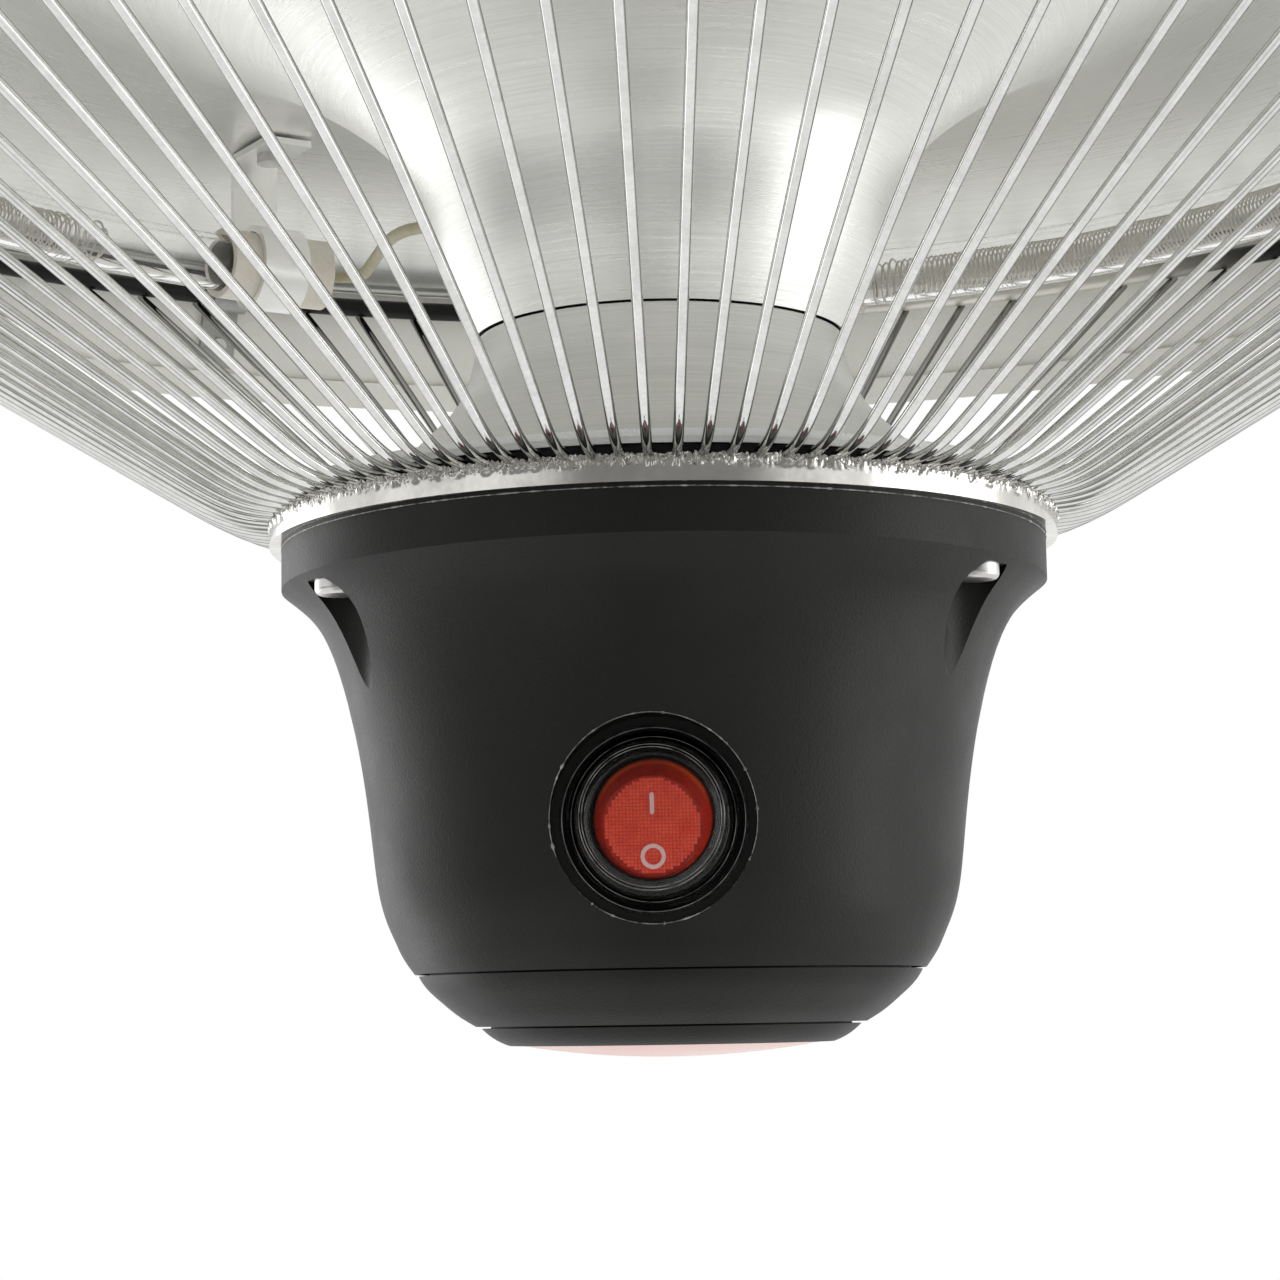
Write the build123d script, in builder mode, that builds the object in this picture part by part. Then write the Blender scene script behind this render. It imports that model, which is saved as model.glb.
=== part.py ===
from build123d import *
import os
from math import cos, hypot, radians, sin, tan

os.makedirs("parts", exist_ok=True)

# Hanging infrared heater: a spun dome over a polished reflector with two half-ring quartz
# heating tubes, a cone of guard wires below, and a black control housing at the bottom.
# The origin is the centre of the hole in the hanging bail. +Z is up and -Y is the side of
# the mains switch. Heights are counted upward from the top face of the housing's flange,
# where the guard ring is clamped, and up() turns them into heights of the frame.

# Driving dimensions of the whole heater
hang_drop = 168.0
flange_radius = 62.0
rim_radius = 213.0
rim_low = 65.5
dome_top = 122.0
dome_flat_radius = 57.0
switch_side = -90.0

# Fits: flat faces nearly touch, pieces that slip together, a seam that shows, a screw hole
touch_gap = 0.05
slip_gap = 0.2
seam_gap = 0.3
screw_gap = 0.2


def up(height):
    return height - hang_drop


def polar(radius, angle, height):
    return (radius * cos(radians(angle)), radius * sin(radians(angle)), up(height))


def upright(angle):
    # the vertical half plane at an angle about the axis: local x is the radius, y the height
    outward = (cos(radians(angle)), sin(radians(angle)), 0)
    normal = (sin(radians(angle)), -cos(radians(angle)), 0)
    return Plane(origin=(0, 0, up(0)), x_dir=outward, z_dir=normal)


def level(height):
    return Plane.XY.offset(up(height))


def beside(curve, distance, count=12):
    # points along a curve at a distance to its left, for the other face of a sheet
    spots = [curve @ (k / count) for k in range(count + 1)]
    courses = [curve % (k / count) for k in range(count + 1)]
    return [(p.X - distance * c.Y, p.Y + distance * c.X) for p, c in zip(spots, courses)]


def bend_radii(points, reach=0.45):
    # each bend of a wire is as large as its two runs allow
    radii = []
    for before, corner, after in zip(points, points[1:], points[2:]):
        arriving = Vector(*corner) - Vector(*before)
        leaving = Vector(*after) - Vector(*corner)
        half_turn = radians(arriving.get_angle(leaving)) / 2
        radii.append(reach * min(arriving.length, leaving.length) / tan(half_turn))
    return radii


section = upright(0)

# Hanging bail: a flat steel strap bent to a U, with the hole for the ceiling hook or bolt
bail_width = 20.0
bail_thickness = 2.5
bail_hole_radius = 5.25
bail_bend_radius = 8.0
ear_span = 104.0
pivot_rise = 12.0
pivot_height = dome_top + pivot_rise
pivot_side_gap = 0.3
shoulder_radius = 3.0
pivot_fit = 0.05
bail_inner_half = ear_span / 2 + pivot_side_gap
leg_low = up(pivot_height) - bail_width / 2

with BuildPart() as hanging_bail:
    with BuildSketch(Plane.XZ):
        with BuildLine():
            inner_face = FilletPolyline(
                (-bail_inner_half, leg_low),
                (-bail_inner_half, -bail_thickness / 2),
                (bail_inner_half, -bail_thickness / 2),
                (bail_inner_half, leg_low),
                radius=bail_bend_radius,
            )
            offset(inner_face, amount=bail_thickness, side=Side.LEFT)
        make_face()
    extrude(amount=bail_width / 2, both=True)
    leg_ends = hanging_bail.edges().filter_by(Axis.X).group_by(Axis.Z)[0]
    fillet(leg_ends, radius=bail_width / 2 - touch_gap)
    with BuildSketch(Plane.XY.offset(-bail_thickness)):
        Circle(bail_hole_radius)
    extrude(amount=2 * bail_thickness, mode=Mode.SUBTRACT)
    with BuildSketch(Plane.YZ.offset(-ear_span)):
        with Locations((0, up(pivot_height))):
            Circle(shoulder_radius + pivot_fit)
    extrude(amount=2 * ear_span, mode=Mode.SUBTRACT)
hanging_bail.part.label = "hanging_bail"
export_step(hanging_bail.part, "parts/hanging_bail.step")

# Saddle bracket: a bent steel strap over the dome's top, its two ears turned up for the bail
saddle_thickness = 2.5
saddle_width = 24.0
saddle_bend_radius = 3.5
ear_rise = 8.0
pivot_thread_radius = 2.5
tube_radius = 6.5
tube_hole_radius = tube_radius + slip_gap
saddle_top = dome_top + saddle_thickness

with BuildPart() as saddle_bracket:
    with BuildSketch(Plane.XZ):
        with BuildLine():
            outer_face = FilletPolyline(
                (-ear_span / 2, up(pivot_height + ear_rise)),
                (-ear_span / 2, up(dome_top)),
                (ear_span / 2, up(dome_top)),
                (ear_span / 2, up(pivot_height + ear_rise)),
                radius=saddle_bend_radius,
            )
            offset(outer_face, amount=saddle_thickness, side=Side.LEFT)
        make_face()
    extrude(amount=saddle_width / 2, both=True)
    ear_tops = saddle_bracket.edges().filter_by(Axis.X).group_by(Axis.Z)[-1]
    fillet(ear_tops, radius=ear_rise)
    with BuildSketch(level(dome_top)):
        Circle(tube_hole_radius)
    extrude(amount=saddle_thickness, mode=Mode.SUBTRACT)
    with BuildSketch(Plane.YZ.offset(-ear_span)):
        with Locations((0, up(pivot_height))):
            Circle(pivot_thread_radius + screw_gap)
    extrude(amount=2 * ear_span, mode=Mode.SUBTRACT)
saddle_bracket.part.label = "saddle_bracket"
export_step(saddle_bracket.part, "parts/saddle_bracket.step")

# Pivot screws: the bail turns on their shoulders, and their nuts sit inside the ears
pivot_head_radius = 5.0
pivot_head_height = 3.0
pivot_head_round = 0.8
pivot_nut_width = 8.0
pivot_nut_height = 4.0
shoulder_length = pivot_side_gap + bail_thickness + 2 * touch_gap
pivot_thread_length = saddle_thickness + pivot_nut_height

with BuildPart() as pivot_screws:
    for side in (-1, 1):
        ear_face = Plane(origin=(side * ear_span / 2, 0, up(pivot_height)), z_dir=(side, 0, 0))
        with BuildSketch(ear_face.offset(-pivot_thread_length)):
            Circle(pivot_thread_radius)
        extrude(amount=pivot_thread_length)
        with BuildSketch(ear_face):
            Circle(shoulder_radius)
        extrude(amount=shoulder_length)
        with BuildSketch(ear_face.offset(shoulder_length)):
            Circle(pivot_head_radius)
        extrude(amount=pivot_head_height)
    ends = pivot_screws.edges().filter_by(GeomType.CIRCLE).group_by(Axis.X)
    fillet(ends[0] + ends[-1], radius=pivot_head_round)
pivot_screws.part.label = "pivot_screws"
export_step(pivot_screws.part, "parts/pivot_screws.step")

with BuildPart() as pivot_nuts:
    for side in (-1, 1):
        ear_inside = side * (ear_span / 2 - saddle_thickness)
        with BuildSketch(Plane(origin=(ear_inside, 0, up(pivot_height)), z_dir=(-side, 0, 0))):
            RegularPolygon(pivot_nut_width / 2, 6, major_radius=False)
            Circle(pivot_thread_radius + touch_gap, mode=Mode.SUBTRACT)
        extrude(amount=pivot_nut_height)
pivot_nuts.part.label = "pivot_nuts"
export_step(pivot_nuts.part, "parts/pivot_nuts.step")

# Dome shell: spun sheet with a conical skirt, its edge hemmed inward, and a flat crown
shell_thickness = 1.0
skirt_draw = 7.0
skirt_top = (rim_radius - skirt_draw, 90.0)
shoulder_round = 25.0
shoulder_slope = 12.6
bowl_radius = 602.0
rim_to_posts = 64.0
post_circle = rim_radius - rim_to_posts
shell_over_posts = dome_top - (post_circle - dome_flat_radius) ** 2 / (2 * bowl_radius)
hem_height = 6.0
skirt_run = -skirt_draw
skirt_rise = skirt_top[1] - rim_low
skirt_length = hypot(skirt_run, skirt_rise)
skirt_along = (skirt_run / skirt_length, skirt_rise / skirt_length)
skirt_inward = (-skirt_along[1], skirt_along[0])
shoulder_point = (
    skirt_top[0] + shoulder_round * (skirt_inward[0] + sin(radians(shoulder_slope))),
    skirt_top[1] + shoulder_round * (skirt_inward[1] + cos(radians(shoulder_slope))),
)
supply_hole_y = 24.0
supply_hole_radius = 6.0
clip_screw_radius = 1.75
clip_screw_along = 12.0
bar_count = 100
bar_pitch = 360 / bar_count
bar_phase = 1.0
clip_count = 4
first_clip = switch_side + bar_phase + 58.5 * bar_pitch
clip_angles = [first_clip + k * 360 / clip_count for k in range(clip_count)]


def on_skirt(along, depth):
    # radius and height of a point: up along the skirt from its edge, and inward from its face
    return (
        rim_radius + along * skirt_along[0] + depth * skirt_inward[0],
        rim_low + along * skirt_along[1] + depth * skirt_inward[1],
    )


def skirt_seat(angle):
    # the plane of a clip screw on the outside of the skirt, looking outward
    radius, height = on_skirt(clip_screw_along, 0)
    lean = Vector(-skirt_inward[0], 0, -skirt_inward[1]).rotate(Axis.Z, angle)
    return Plane(origin=polar(radius, angle, height), z_dir=lean)


with BuildPart() as dome_shell:
    with BuildSketch(section):
        with BuildLine():
            Line((rim_radius, rim_low), skirt_top)
            shoulder = TangentArc(skirt_top, shoulder_point, tangent=skirt_along)
            TangentArc(shoulder_point, (dome_flat_radius, dome_top), tangent=shoulder % 1)
            Line((dome_flat_radius, dome_top), (tube_hole_radius, dome_top))
            offset(amount=shell_thickness, side=Side.LEFT)
        make_face()
    revolve(axis=Axis.Z)
    with BuildSketch(section):
        with BuildLine():
            Polyline(
                on_skirt(0, shell_thickness / 2),
                on_skirt(hem_height, shell_thickness / 2),
                on_skirt(hem_height, 2 * shell_thickness),
                on_skirt(0, 2 * shell_thickness),
                close=True,
            )
        make_face()
    revolve(axis=Axis.Z)
    with BuildSketch(level(dome_top - shell_thickness)):
        with Locations((0, supply_hole_y)):
            Circle(supply_hole_radius)
    extrude(amount=shell_thickness, mode=Mode.SUBTRACT)
    for angle in clip_angles:
        with BuildSketch(skirt_seat(angle).offset(-2 * shell_thickness)):
            Circle(clip_screw_radius + screw_gap)
        extrude(amount=3 * shell_thickness, mode=Mode.SUBTRACT)
dome_shell.part.label = "dome_shell"
export_step(dome_shell.part, "parts/dome_shell.step")

# Centre stack: a threaded tube clamps dome, saddle and base plate with four nuts
base_plate_thickness = 2.0
ledge_thickness = 1.2
tube_wall = 1.5
tube_low = -6.0
tube_end_rise = 2.0
tube_nut_width = 19.0
tube_nut_height = 5.0
plate_low = ledge_thickness
plate_top = plate_low + base_plate_thickness
tube_high = saddle_top + tube_nut_height + tube_end_rise

with BuildPart() as centre_tube:
    with BuildSketch(level(tube_low)):
        Circle(tube_radius)
        Circle(tube_radius - tube_wall, mode=Mode.SUBTRACT)
    extrude(amount=tube_high - tube_low)
centre_tube.part.label = "centre_tube"
export_step(centre_tube.part, "parts/centre_tube.step")

nut_seats = [
    plate_low - tube_nut_height,
    plate_top,
    dome_top - shell_thickness - tube_nut_height,
    saddle_top,
]

with BuildPart() as tube_nuts:
    for seat in nut_seats:
        with BuildSketch(level(seat)):
            RegularPolygon(tube_nut_width / 2, 6, major_radius=False)
            Circle(tube_radius + touch_gap, mode=Mode.SUBTRACT)
        extrude(amount=tube_nut_height)
tube_nuts.part.label = "tube_nuts"
export_step(tube_nuts.part, "parts/tube_nuts.step")

# Top cap: a moulded cover on two posts, let over the saddle, with a flat pad for the gland
cap_room = 8.0
cap_radius = ear_span / 2 - cap_room
cap_height = 26.0
cap_wall = 2.2
cap_round = 6.0
cap_screw_spot = 24.0
cap_boss_radius = 6.0
cap_boss_low = 21.0
cap_recess_radius = 4.0
cap_recess_depth = 2.6
cap_screw_radius = 1.75
cap_screw_head_radius = 3.5
cap_screw_head_height = 2.2
cap_screw_reach = 8.0
cap_top = dome_top + cap_height
gland_rise = 13.0
gland_height = dome_top + gland_rise
gland_thread_radius = 8.0
pad_radius = 12.0
pad_proud = 1.0
pad_depth = 6.5
pad_face = cap_radius + pad_proud
pad_inside = pad_face - pad_depth
cap_screw_spots = [(cap_screw_spot, cap_screw_spot), (-cap_screw_spot, -cap_screw_spot)]
back_face = Plane(origin=(0, pad_face, up(gland_height)), x_dir=(1, 0, 0), z_dir=(0, 1, 0))

with BuildPart() as top_cap:
    with BuildSketch(level(dome_top)):
        Circle(cap_radius)
    extrude(amount=cap_height)
    fillet(top_cap.edges().group_by(Axis.Z)[-1], radius=cap_round)
    cap_foot = top_cap.faces().sort_by(Axis.Z)[0]
    offset(amount=-cap_wall, openings=cap_foot)
    with BuildSketch(level(dome_top + cap_boss_low)):
        with Locations(*cap_screw_spots):
            Circle(cap_boss_radius)
    extrude(amount=cap_height - cap_boss_low - cap_wall / 2)
    with BuildSketch(back_face):
        Circle(pad_radius)
    extrude(amount=pad_inside - pad_face)
    with BuildSketch(back_face):
        Circle(gland_thread_radius + slip_gap)
    extrude(amount=pad_inside - pad_face, mode=Mode.SUBTRACT)
    with BuildSketch(level(cap_top - cap_recess_depth)):
        with Locations(*cap_screw_spots):
            Circle(cap_recess_radius)
    extrude(amount=cap_recess_depth, mode=Mode.SUBTRACT)
    with BuildSketch(level(dome_top + cap_boss_low)):
        with Locations(*cap_screw_spots):
            Circle(cap_screw_radius + screw_gap)
    extrude(amount=cap_height, mode=Mode.SUBTRACT)
    with BuildSketch(level(dome_top)):
        Rectangle(2 * cap_radius, saddle_width + 2 * seam_gap)
    extrude(amount=saddle_thickness + seam_gap, mode=Mode.SUBTRACT)
top_cap.part.label = "top_cap"
export_step(top_cap.part, "parts/top_cap.step")

cap_post_radius = 3.5
cap_post_height = cap_boss_low - touch_gap

with BuildPart() as cap_posts:
    with BuildSketch(level(dome_top)):
        with Locations(*cap_screw_spots):
            Circle(cap_post_radius)
            Circle(cap_screw_radius + touch_gap, mode=Mode.SUBTRACT)
    extrude(amount=cap_post_height)
cap_posts.part.label = "cap_posts"
export_step(cap_posts.part, "parts/cap_posts.step")

with BuildPart() as cap_screws:
    with BuildSketch(level(cap_top - cap_recess_depth)):
        with Locations(*cap_screw_spots):
            Circle(cap_screw_head_radius)
    extrude(amount=cap_screw_head_height)
    with BuildSketch(level(dome_top + cap_boss_low - cap_screw_reach)):
        with Locations(*cap_screw_spots):
            Circle(cap_screw_radius)
    extrude(amount=cap_height - cap_recess_depth - cap_boss_low + cap_screw_reach)
cap_screws.part.label = "cap_screws"
export_step(cap_screws.part, "parts/cap_screws.step")

# Cable gland: threaded body through the pad, hexagon outside, locknut inside, dome nut
cord_radius = 3.5
gland_hex_width = 22.0
gland_hex_length = 5.0
gland_nose_radius = 6.5
gland_nose_length = 9.0
gland_inner_length = 4.5
dome_nut_radius = 10.0
dome_nut_length = 13.0
dome_nut_round = 3.5
locknut_width = 20.0
locknut_height = 3.5
gland_tail = pad_face - pad_inside + gland_inner_length

with BuildPart() as cable_gland:
    with BuildSketch(back_face.offset(-gland_tail)):
        Circle(gland_thread_radius)
    extrude(amount=gland_tail)
    with BuildSketch(back_face):
        RegularPolygon(gland_hex_width / 2, 6, major_radius=False)
    extrude(amount=gland_hex_length)
    with BuildSketch(back_face.offset(gland_hex_length)):
        Circle(gland_nose_radius)
    extrude(amount=gland_nose_length)
    with BuildSketch(back_face.offset(-gland_tail)):
        Circle(cord_radius)
    extrude(amount=gland_tail + gland_hex_length + gland_nose_length, mode=Mode.SUBTRACT)
cable_gland.part.label = "cable_gland"
export_step(cable_gland.part, "parts/cable_gland.step")

with BuildPart() as gland_nut:
    with BuildSketch(back_face.offset(gland_hex_length)):
        Circle(dome_nut_radius)
    extrude(amount=dome_nut_length)
    fillet(gland_nut.edges().sort_by(Axis.Y)[-1], radius=dome_nut_round)
    with BuildSketch(back_face.offset(gland_hex_length)):
        Circle(gland_nose_radius + touch_gap)
    extrude(amount=gland_nose_length + touch_gap, mode=Mode.SUBTRACT)
    with BuildSketch(back_face.offset(gland_hex_length)):
        Circle(cord_radius)
    extrude(amount=dome_nut_length, mode=Mode.SUBTRACT)
gland_nut.part.label = "gland_nut"
export_step(gland_nut.part, "parts/gland_nut.step")

with BuildPart() as gland_locknut:
    with BuildSketch(back_face.offset(pad_inside - pad_face)):
        RegularPolygon(locknut_width / 2, 6, major_radius=False)
        Circle(gland_thread_radius + touch_gap, mode=Mode.SUBTRACT)
    extrude(amount=-locknut_height)
gland_locknut.part.label = "gland_locknut"
export_step(gland_locknut.part, "parts/gland_locknut.step")

# Terminal block: three poles in a row beside the hole that the supply wires go down
wire_radius = 1.3
wire_pitch = 3.0
block_length = 17.0
block_depth = 11.0
block_height = 11.0
block_face = -11.0
block_wire_height = 6.0
block_screw_radius = 1.4
block_screw_depth = 3.7
block_chamfer = 1.5
pole_ys = [supply_hole_y + k * wire_pitch for k in (-1, 0, 1)]

with BuildPart() as terminal_block:
    with BuildSketch(level(dome_top)):
        with Locations((block_face - block_length / 2, supply_hole_y)):
            Rectangle(block_length, block_depth)
    extrude(amount=block_height)
    chamfer(terminal_block.edges().filter_by(Axis.X).group_by(Axis.Z)[-1], length=block_chamfer)
    with BuildSketch(level(dome_top + block_height)):
        with Locations((block_face - block_length / 2, supply_hole_y)):
            with GridLocations(block_length / 2, wire_pitch, 2, len(pole_ys)):
                Circle(block_screw_radius)
    extrude(amount=-block_screw_depth, mode=Mode.SUBTRACT)
terminal_block.part.label = "terminal_block"
export_step(terminal_block.part, "parts/terminal_block.step")

# Reflector: polished sheet spun to a trough over the tubes and a funnel in the middle
reflector_thickness = 0.8
funnel_mouth = (30.6, 34.5)
reflector_apex = 106.0
trough_fall = (rim_radius - 33.0, 101.0)
reflector_mouth = (rim_radius - 9.6, 90.9)
bead_radius = 0.9
lead_radius = 1.2
grommet_radius = 2.8
post_screw_radius = 1.5
lamp_height = 79.5
gap_axis = 103.0
half_gap = 18.0
cap_arc = 9.0
lamp_arc = 180 - 2 * half_gap
lamp_starts = [gap_axis + half_gap, gap_axis + 180 + half_gap]
cap_middles = [start + arc for start in lamp_starts for arc in (cap_arc / 2, lamp_arc - cap_arc / 2)]
clip_middles = [start + lamp_arc / 2 for start in lamp_starts]
post_angles = cap_middles + clip_middles
funnel_pass = (41.0, 24.6, 61.0)
funnel_entry = (98.2, 20.4, 78.0)
funnel_exit = (21.4, 31.6, 55.0)
lead_exit_arc = 14.7
trough_pass = (post_circle / cos(radians(half_gap - lead_exit_arc)), lead_exit_arc)


def far_point(point, side):
    return polar(point[0], gap_axis + side * point[1], point[2])


def funnel_hole(side):
    # the plane square to a far lead where it goes through the funnel, looking inward
    run = Vector(*far_point(funnel_exit, side)) - Vector(*far_point(funnel_entry, side))
    return Plane(origin=far_point(funnel_pass, side), z_dir=run)


def trough_hole(side, height):
    radius, arc = trough_pass
    return Plane(origin=polar(radius, gap_axis + 180 + side * arc, height))


with BuildPart() as reflector:
    with BuildSketch(section):
        with BuildLine():
            reflector_line = Spline(
                funnel_mouth,
                (35.6, 46.0),
                (40.9, 61.7),
                (57.6, 77.9),
                (95.0, 96.5),
                (post_circle, reflector_apex),
                trough_fall,
                reflector_mouth,
                tangents=[(0, 1), (1, -0.45)],
            )
            reflector_back = Spline(
                *beside(reflector_line, reflector_thickness),
                tangents=[reflector_line % 0, reflector_line % 1],
            )
            Line(reflector_line @ 0, reflector_back @ 0)
            Line(reflector_line @ 1, reflector_back @ 1)
        make_face()
        with Locations((funnel_mouth[0], funnel_mouth[1] + bead_radius), reflector_mouth):
            Circle(bead_radius)
    revolve(axis=Axis.Z)
    for angle in post_angles:
        with BuildSketch(Plane(origin=polar(post_circle, angle, reflector_apex))):
            Circle(post_screw_radius + screw_gap)
        extrude(amount=3 * reflector_thickness, both=True, mode=Mode.SUBTRACT)
    for side in (-1, 1):
        with BuildSketch(funnel_hole(side)):
            Circle(grommet_radius + touch_gap)
        extrude(amount=grommet_radius, both=True, mode=Mode.SUBTRACT)
        with BuildSketch(trough_hole(side, reflector_apex)):
            Circle(grommet_radius + touch_gap)
        extrude(amount=3 * reflector_thickness, both=True, mode=Mode.SUBTRACT)
reflector.part.label = "reflector"
export_step(reflector.part, "parts/reflector.step")

# Reflector posts: threaded posts welded under the dome that the reflector is screwed to
post_radius = 3.0
post_low = reflector_apex + reflector_thickness + seam_gap
post_slope_room = 0.7
post_high = shell_over_posts - shell_thickness - post_slope_room

with BuildPart() as reflector_posts:
    for angle in post_angles:
        with BuildSketch(Plane(origin=polar(post_circle, angle, post_low))):
            Circle(post_radius)
            Circle(post_screw_radius + touch_gap, mode=Mode.SUBTRACT)
        extrude(amount=post_high - post_low)
reflector_posts.part.label = "reflector_posts"
export_step(reflector_posts.part, "parts/reflector_posts.step")

# Heating tubes: two half rings of clear quartz with a coil inside and ceramic end caps
quartz_radius = 5.8
quartz_wall = 1.2
coil_radius = 4.0
coil_wire = 0.4
ceramic_radius = 7.2
socket_arc = 3.5
coil_end_arc = 0.3
strap_thickness = 1.3
quartz_arc = lamp_arc - 2 * (cap_arc - socket_arc)
lamp_spot = (post_circle, lamp_height)

with BuildPart() as lamp_tubes:
    for start in lamp_starts:
        with BuildSketch(upright(start + cap_arc - socket_arc)):
            with Locations(lamp_spot):
                Circle(quartz_radius)
                Circle(quartz_radius - quartz_wall, mode=Mode.SUBTRACT)
        revolve(axis=Axis.Z, revolution_arc=quartz_arc)
lamp_tubes.part.label = "lamp_tubes"
export_step(lamp_tubes.part, "parts/lamp_tubes.step")

with BuildPart() as lamp_coils:
    for start in lamp_starts:
        with BuildSketch(upright(start + cap_arc - socket_arc + coil_end_arc)):
            with Locations(lamp_spot):
                Circle(coil_radius)
                Circle(coil_radius - coil_wire, mode=Mode.SUBTRACT)
        revolve(axis=Axis.Z, revolution_arc=quartz_arc - 2 * coil_end_arc)
lamp_coils.part.label = "lamp_coils"
export_step(lamp_coils.part, "parts/lamp_coils.step")

with BuildPart() as lamp_caps:
    for start in lamp_starts:
        for cap_start in (start, start + lamp_arc - cap_arc):
            with BuildSketch(upright(cap_start)):
                with Locations(lamp_spot):
                    Circle(ceramic_radius)
            revolve(axis=Axis.Z, revolution_arc=cap_arc)
        with BuildSketch(upright(start + cap_arc - socket_arc)):
            with Locations(lamp_spot):
                Circle(quartz_radius + touch_gap)
        revolve(axis=Axis.Z, revolution_arc=quartz_arc, mode=Mode.SUBTRACT)
lamp_caps.part.label = "lamp_caps"
export_step(lamp_caps.part, "parts/lamp_caps.step")

# Straps: a ring round the cap or tube with a stem and a foot screwed up into a post
strap_foot_reach = 9.0
strap_foot_top = reflector_apex - strap_thickness / 2
cap_strap_width = 10.0
tube_strap_width = 6.0
grip_gap = 0.2


def strap_outline(held_radius):
    # seen along the lamp: the stem rises at the ring's outer side and the foot turns inward
    ring_inside = held_radius + grip_gap
    ring_outside = ring_inside + strap_thickness
    stem = post_circle + ring_outside - strap_thickness
    with BuildSketch() as outline:
        with Locations(lamp_spot):
            Circle(ring_outside)
        with Locations((stem, lamp_height)):
            Rectangle(strap_thickness, strap_foot_top - lamp_height, align=(Align.MIN, Align.MIN))
        with Locations((stem + strap_thickness, strap_foot_top)):
            Rectangle(
                strap_foot_reach + ring_outside, strap_thickness, align=(Align.MAX, Align.MAX)
            )
        with Locations(lamp_spot):
            Circle(ring_inside, mode=Mode.SUBTRACT)
    return outline.sketch


cap_strap = strap_outline(ceramic_radius)
tube_strap = strap_outline(quartz_radius)

with BuildPart() as lamp_brackets:
    for angle in cap_middles:
        with BuildSketch(upright(angle)):
            add(cap_strap)
        extrude(amount=cap_strap_width / 2, both=True)
        with BuildSketch(Plane(origin=polar(post_circle, angle, reflector_apex))):
            Circle(post_screw_radius + screw_gap)
        extrude(amount=-ceramic_radius, mode=Mode.SUBTRACT)
lamp_brackets.part.label = "lamp_brackets"
export_step(lamp_brackets.part, "parts/lamp_brackets.step")

with BuildPart() as tube_clips:
    for angle in clip_middles:
        with BuildSketch(upright(angle)):
            add(tube_strap)
        extrude(amount=tube_strap_width / 2, both=True)
        with BuildSketch(Plane(origin=polar(post_circle, angle, reflector_apex))):
            Circle(post_screw_radius + screw_gap)
        extrude(amount=-ceramic_radius, mode=Mode.SUBTRACT)
tube_clips.part.label = "tube_clips"
export_step(tube_clips.part, "parts/tube_clips.step")

bracket_head_radius = 2.8
bracket_head_height = 2.0
bracket_head_low = strap_foot_top - strap_thickness - bracket_head_height

with BuildPart() as bracket_screws:
    for angle in post_angles:
        with BuildSketch(Plane(origin=polar(post_circle, angle, bracket_head_low))):
            Circle(bracket_head_radius)
        extrude(amount=bracket_head_height)
        with BuildSketch(Plane(origin=polar(post_circle, angle, bracket_head_low))):
            Circle(post_screw_radius)
        extrude(amount=post_high - bracket_head_low)
bracket_screws.part.label = "bracket_screws"
export_step(bracket_screws.part, "parts/bracket_screws.step")

# Lamp leads: each leaves its cap along the tube, turns, and runs through reflector, funnel
# and base plate down to the board. Points are radius, angle from the gap and height.
lead_exit = (*trough_pass, lamp_height)
far_bend_radii = [6.0, 120.0, 16.0]
over_reflector = 110.4
near_fold_radius = 3.0
near_bend_radius = 7.0
board_top = -61.0
connector_height = 9.0
lead_low = board_top + connector_height + 2 * touch_gap
far_plate_pass = (24.2, 38.7)
near_plate_pass = (23.2, 37.8)
far_drop = [(*far_plate_pass, 4.0), (24.6, 37.0, -24.0)]
far_lead_end = (23.4, 37.0, lead_low)
near_drop = [(100.0, 12.0, 112.5), (55.0, 11.0, 108.0), (24.0, 38.0, 92.0)]
near_fall = [(22.6, 37.0, 42.0), (23.4, 38.0, -6.0)]
near_lead_end = (22.8, 39.0, lead_low)


def near_point(point, side):
    return polar(point[0], gap_axis + 180 + side * point[1], point[2])


with BuildPart() as lamp_leads:
    for side in (-1, 1):
        start = far_point((post_circle, half_gap, lamp_height), side)
        route = [far_point(p, side) for p in (lead_exit, funnel_entry, funnel_exit)]
        route += [far_point(p, side) for p in (*far_drop, far_lead_end)]
        points = [start, *route]
        radii = far_bend_radii + bend_radii(points)[3:]
        with BuildLine():
            far_path = FilletPolyline(*points, radius=radii)
        with BuildSketch(Plane(origin=far_path @ 0, z_dir=far_path % 0)):
            Circle(lead_radius)
        sweep(path=far_path)
        print("far lead radii", [round(r) for r in radii])
    for side in (-1, 1):
        start = near_point((post_circle, half_gap, lamp_height), side)
        rise = (lead_exit[0], lead_exit[1], over_reflector)
        route = [near_point(p, side) for p in (lead_exit, rise, *near_drop)]
        route += [near_point(p, side) for p in (*near_fall, near_lead_end)]
        points = [start, *route]
        radii = [near_bend_radius, near_fold_radius] + bend_radii(points)[2:]
        with BuildLine():
            near_path = FilletPolyline(*points, radius=radii)
        with BuildSketch(Plane(origin=near_path @ 0, z_dir=near_path % 0)):
            Circle(lead_radius)
        sweep(path=near_path)
        print("near lead radii", [round(r) for r in radii])
lamp_leads.part.label = "lamp_leads"
export_step(lamp_leads.part, "parts/lamp_leads.step")

# Lead grommets: ceramic bushes where the leads go through the reflector
funnel_grommet_length = 10.0
trough_grommet_length = 5.0
grommet_lip = 1.4
grommet_lip_radius = 4.0
grommet_lip_seat = 0.6

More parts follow.
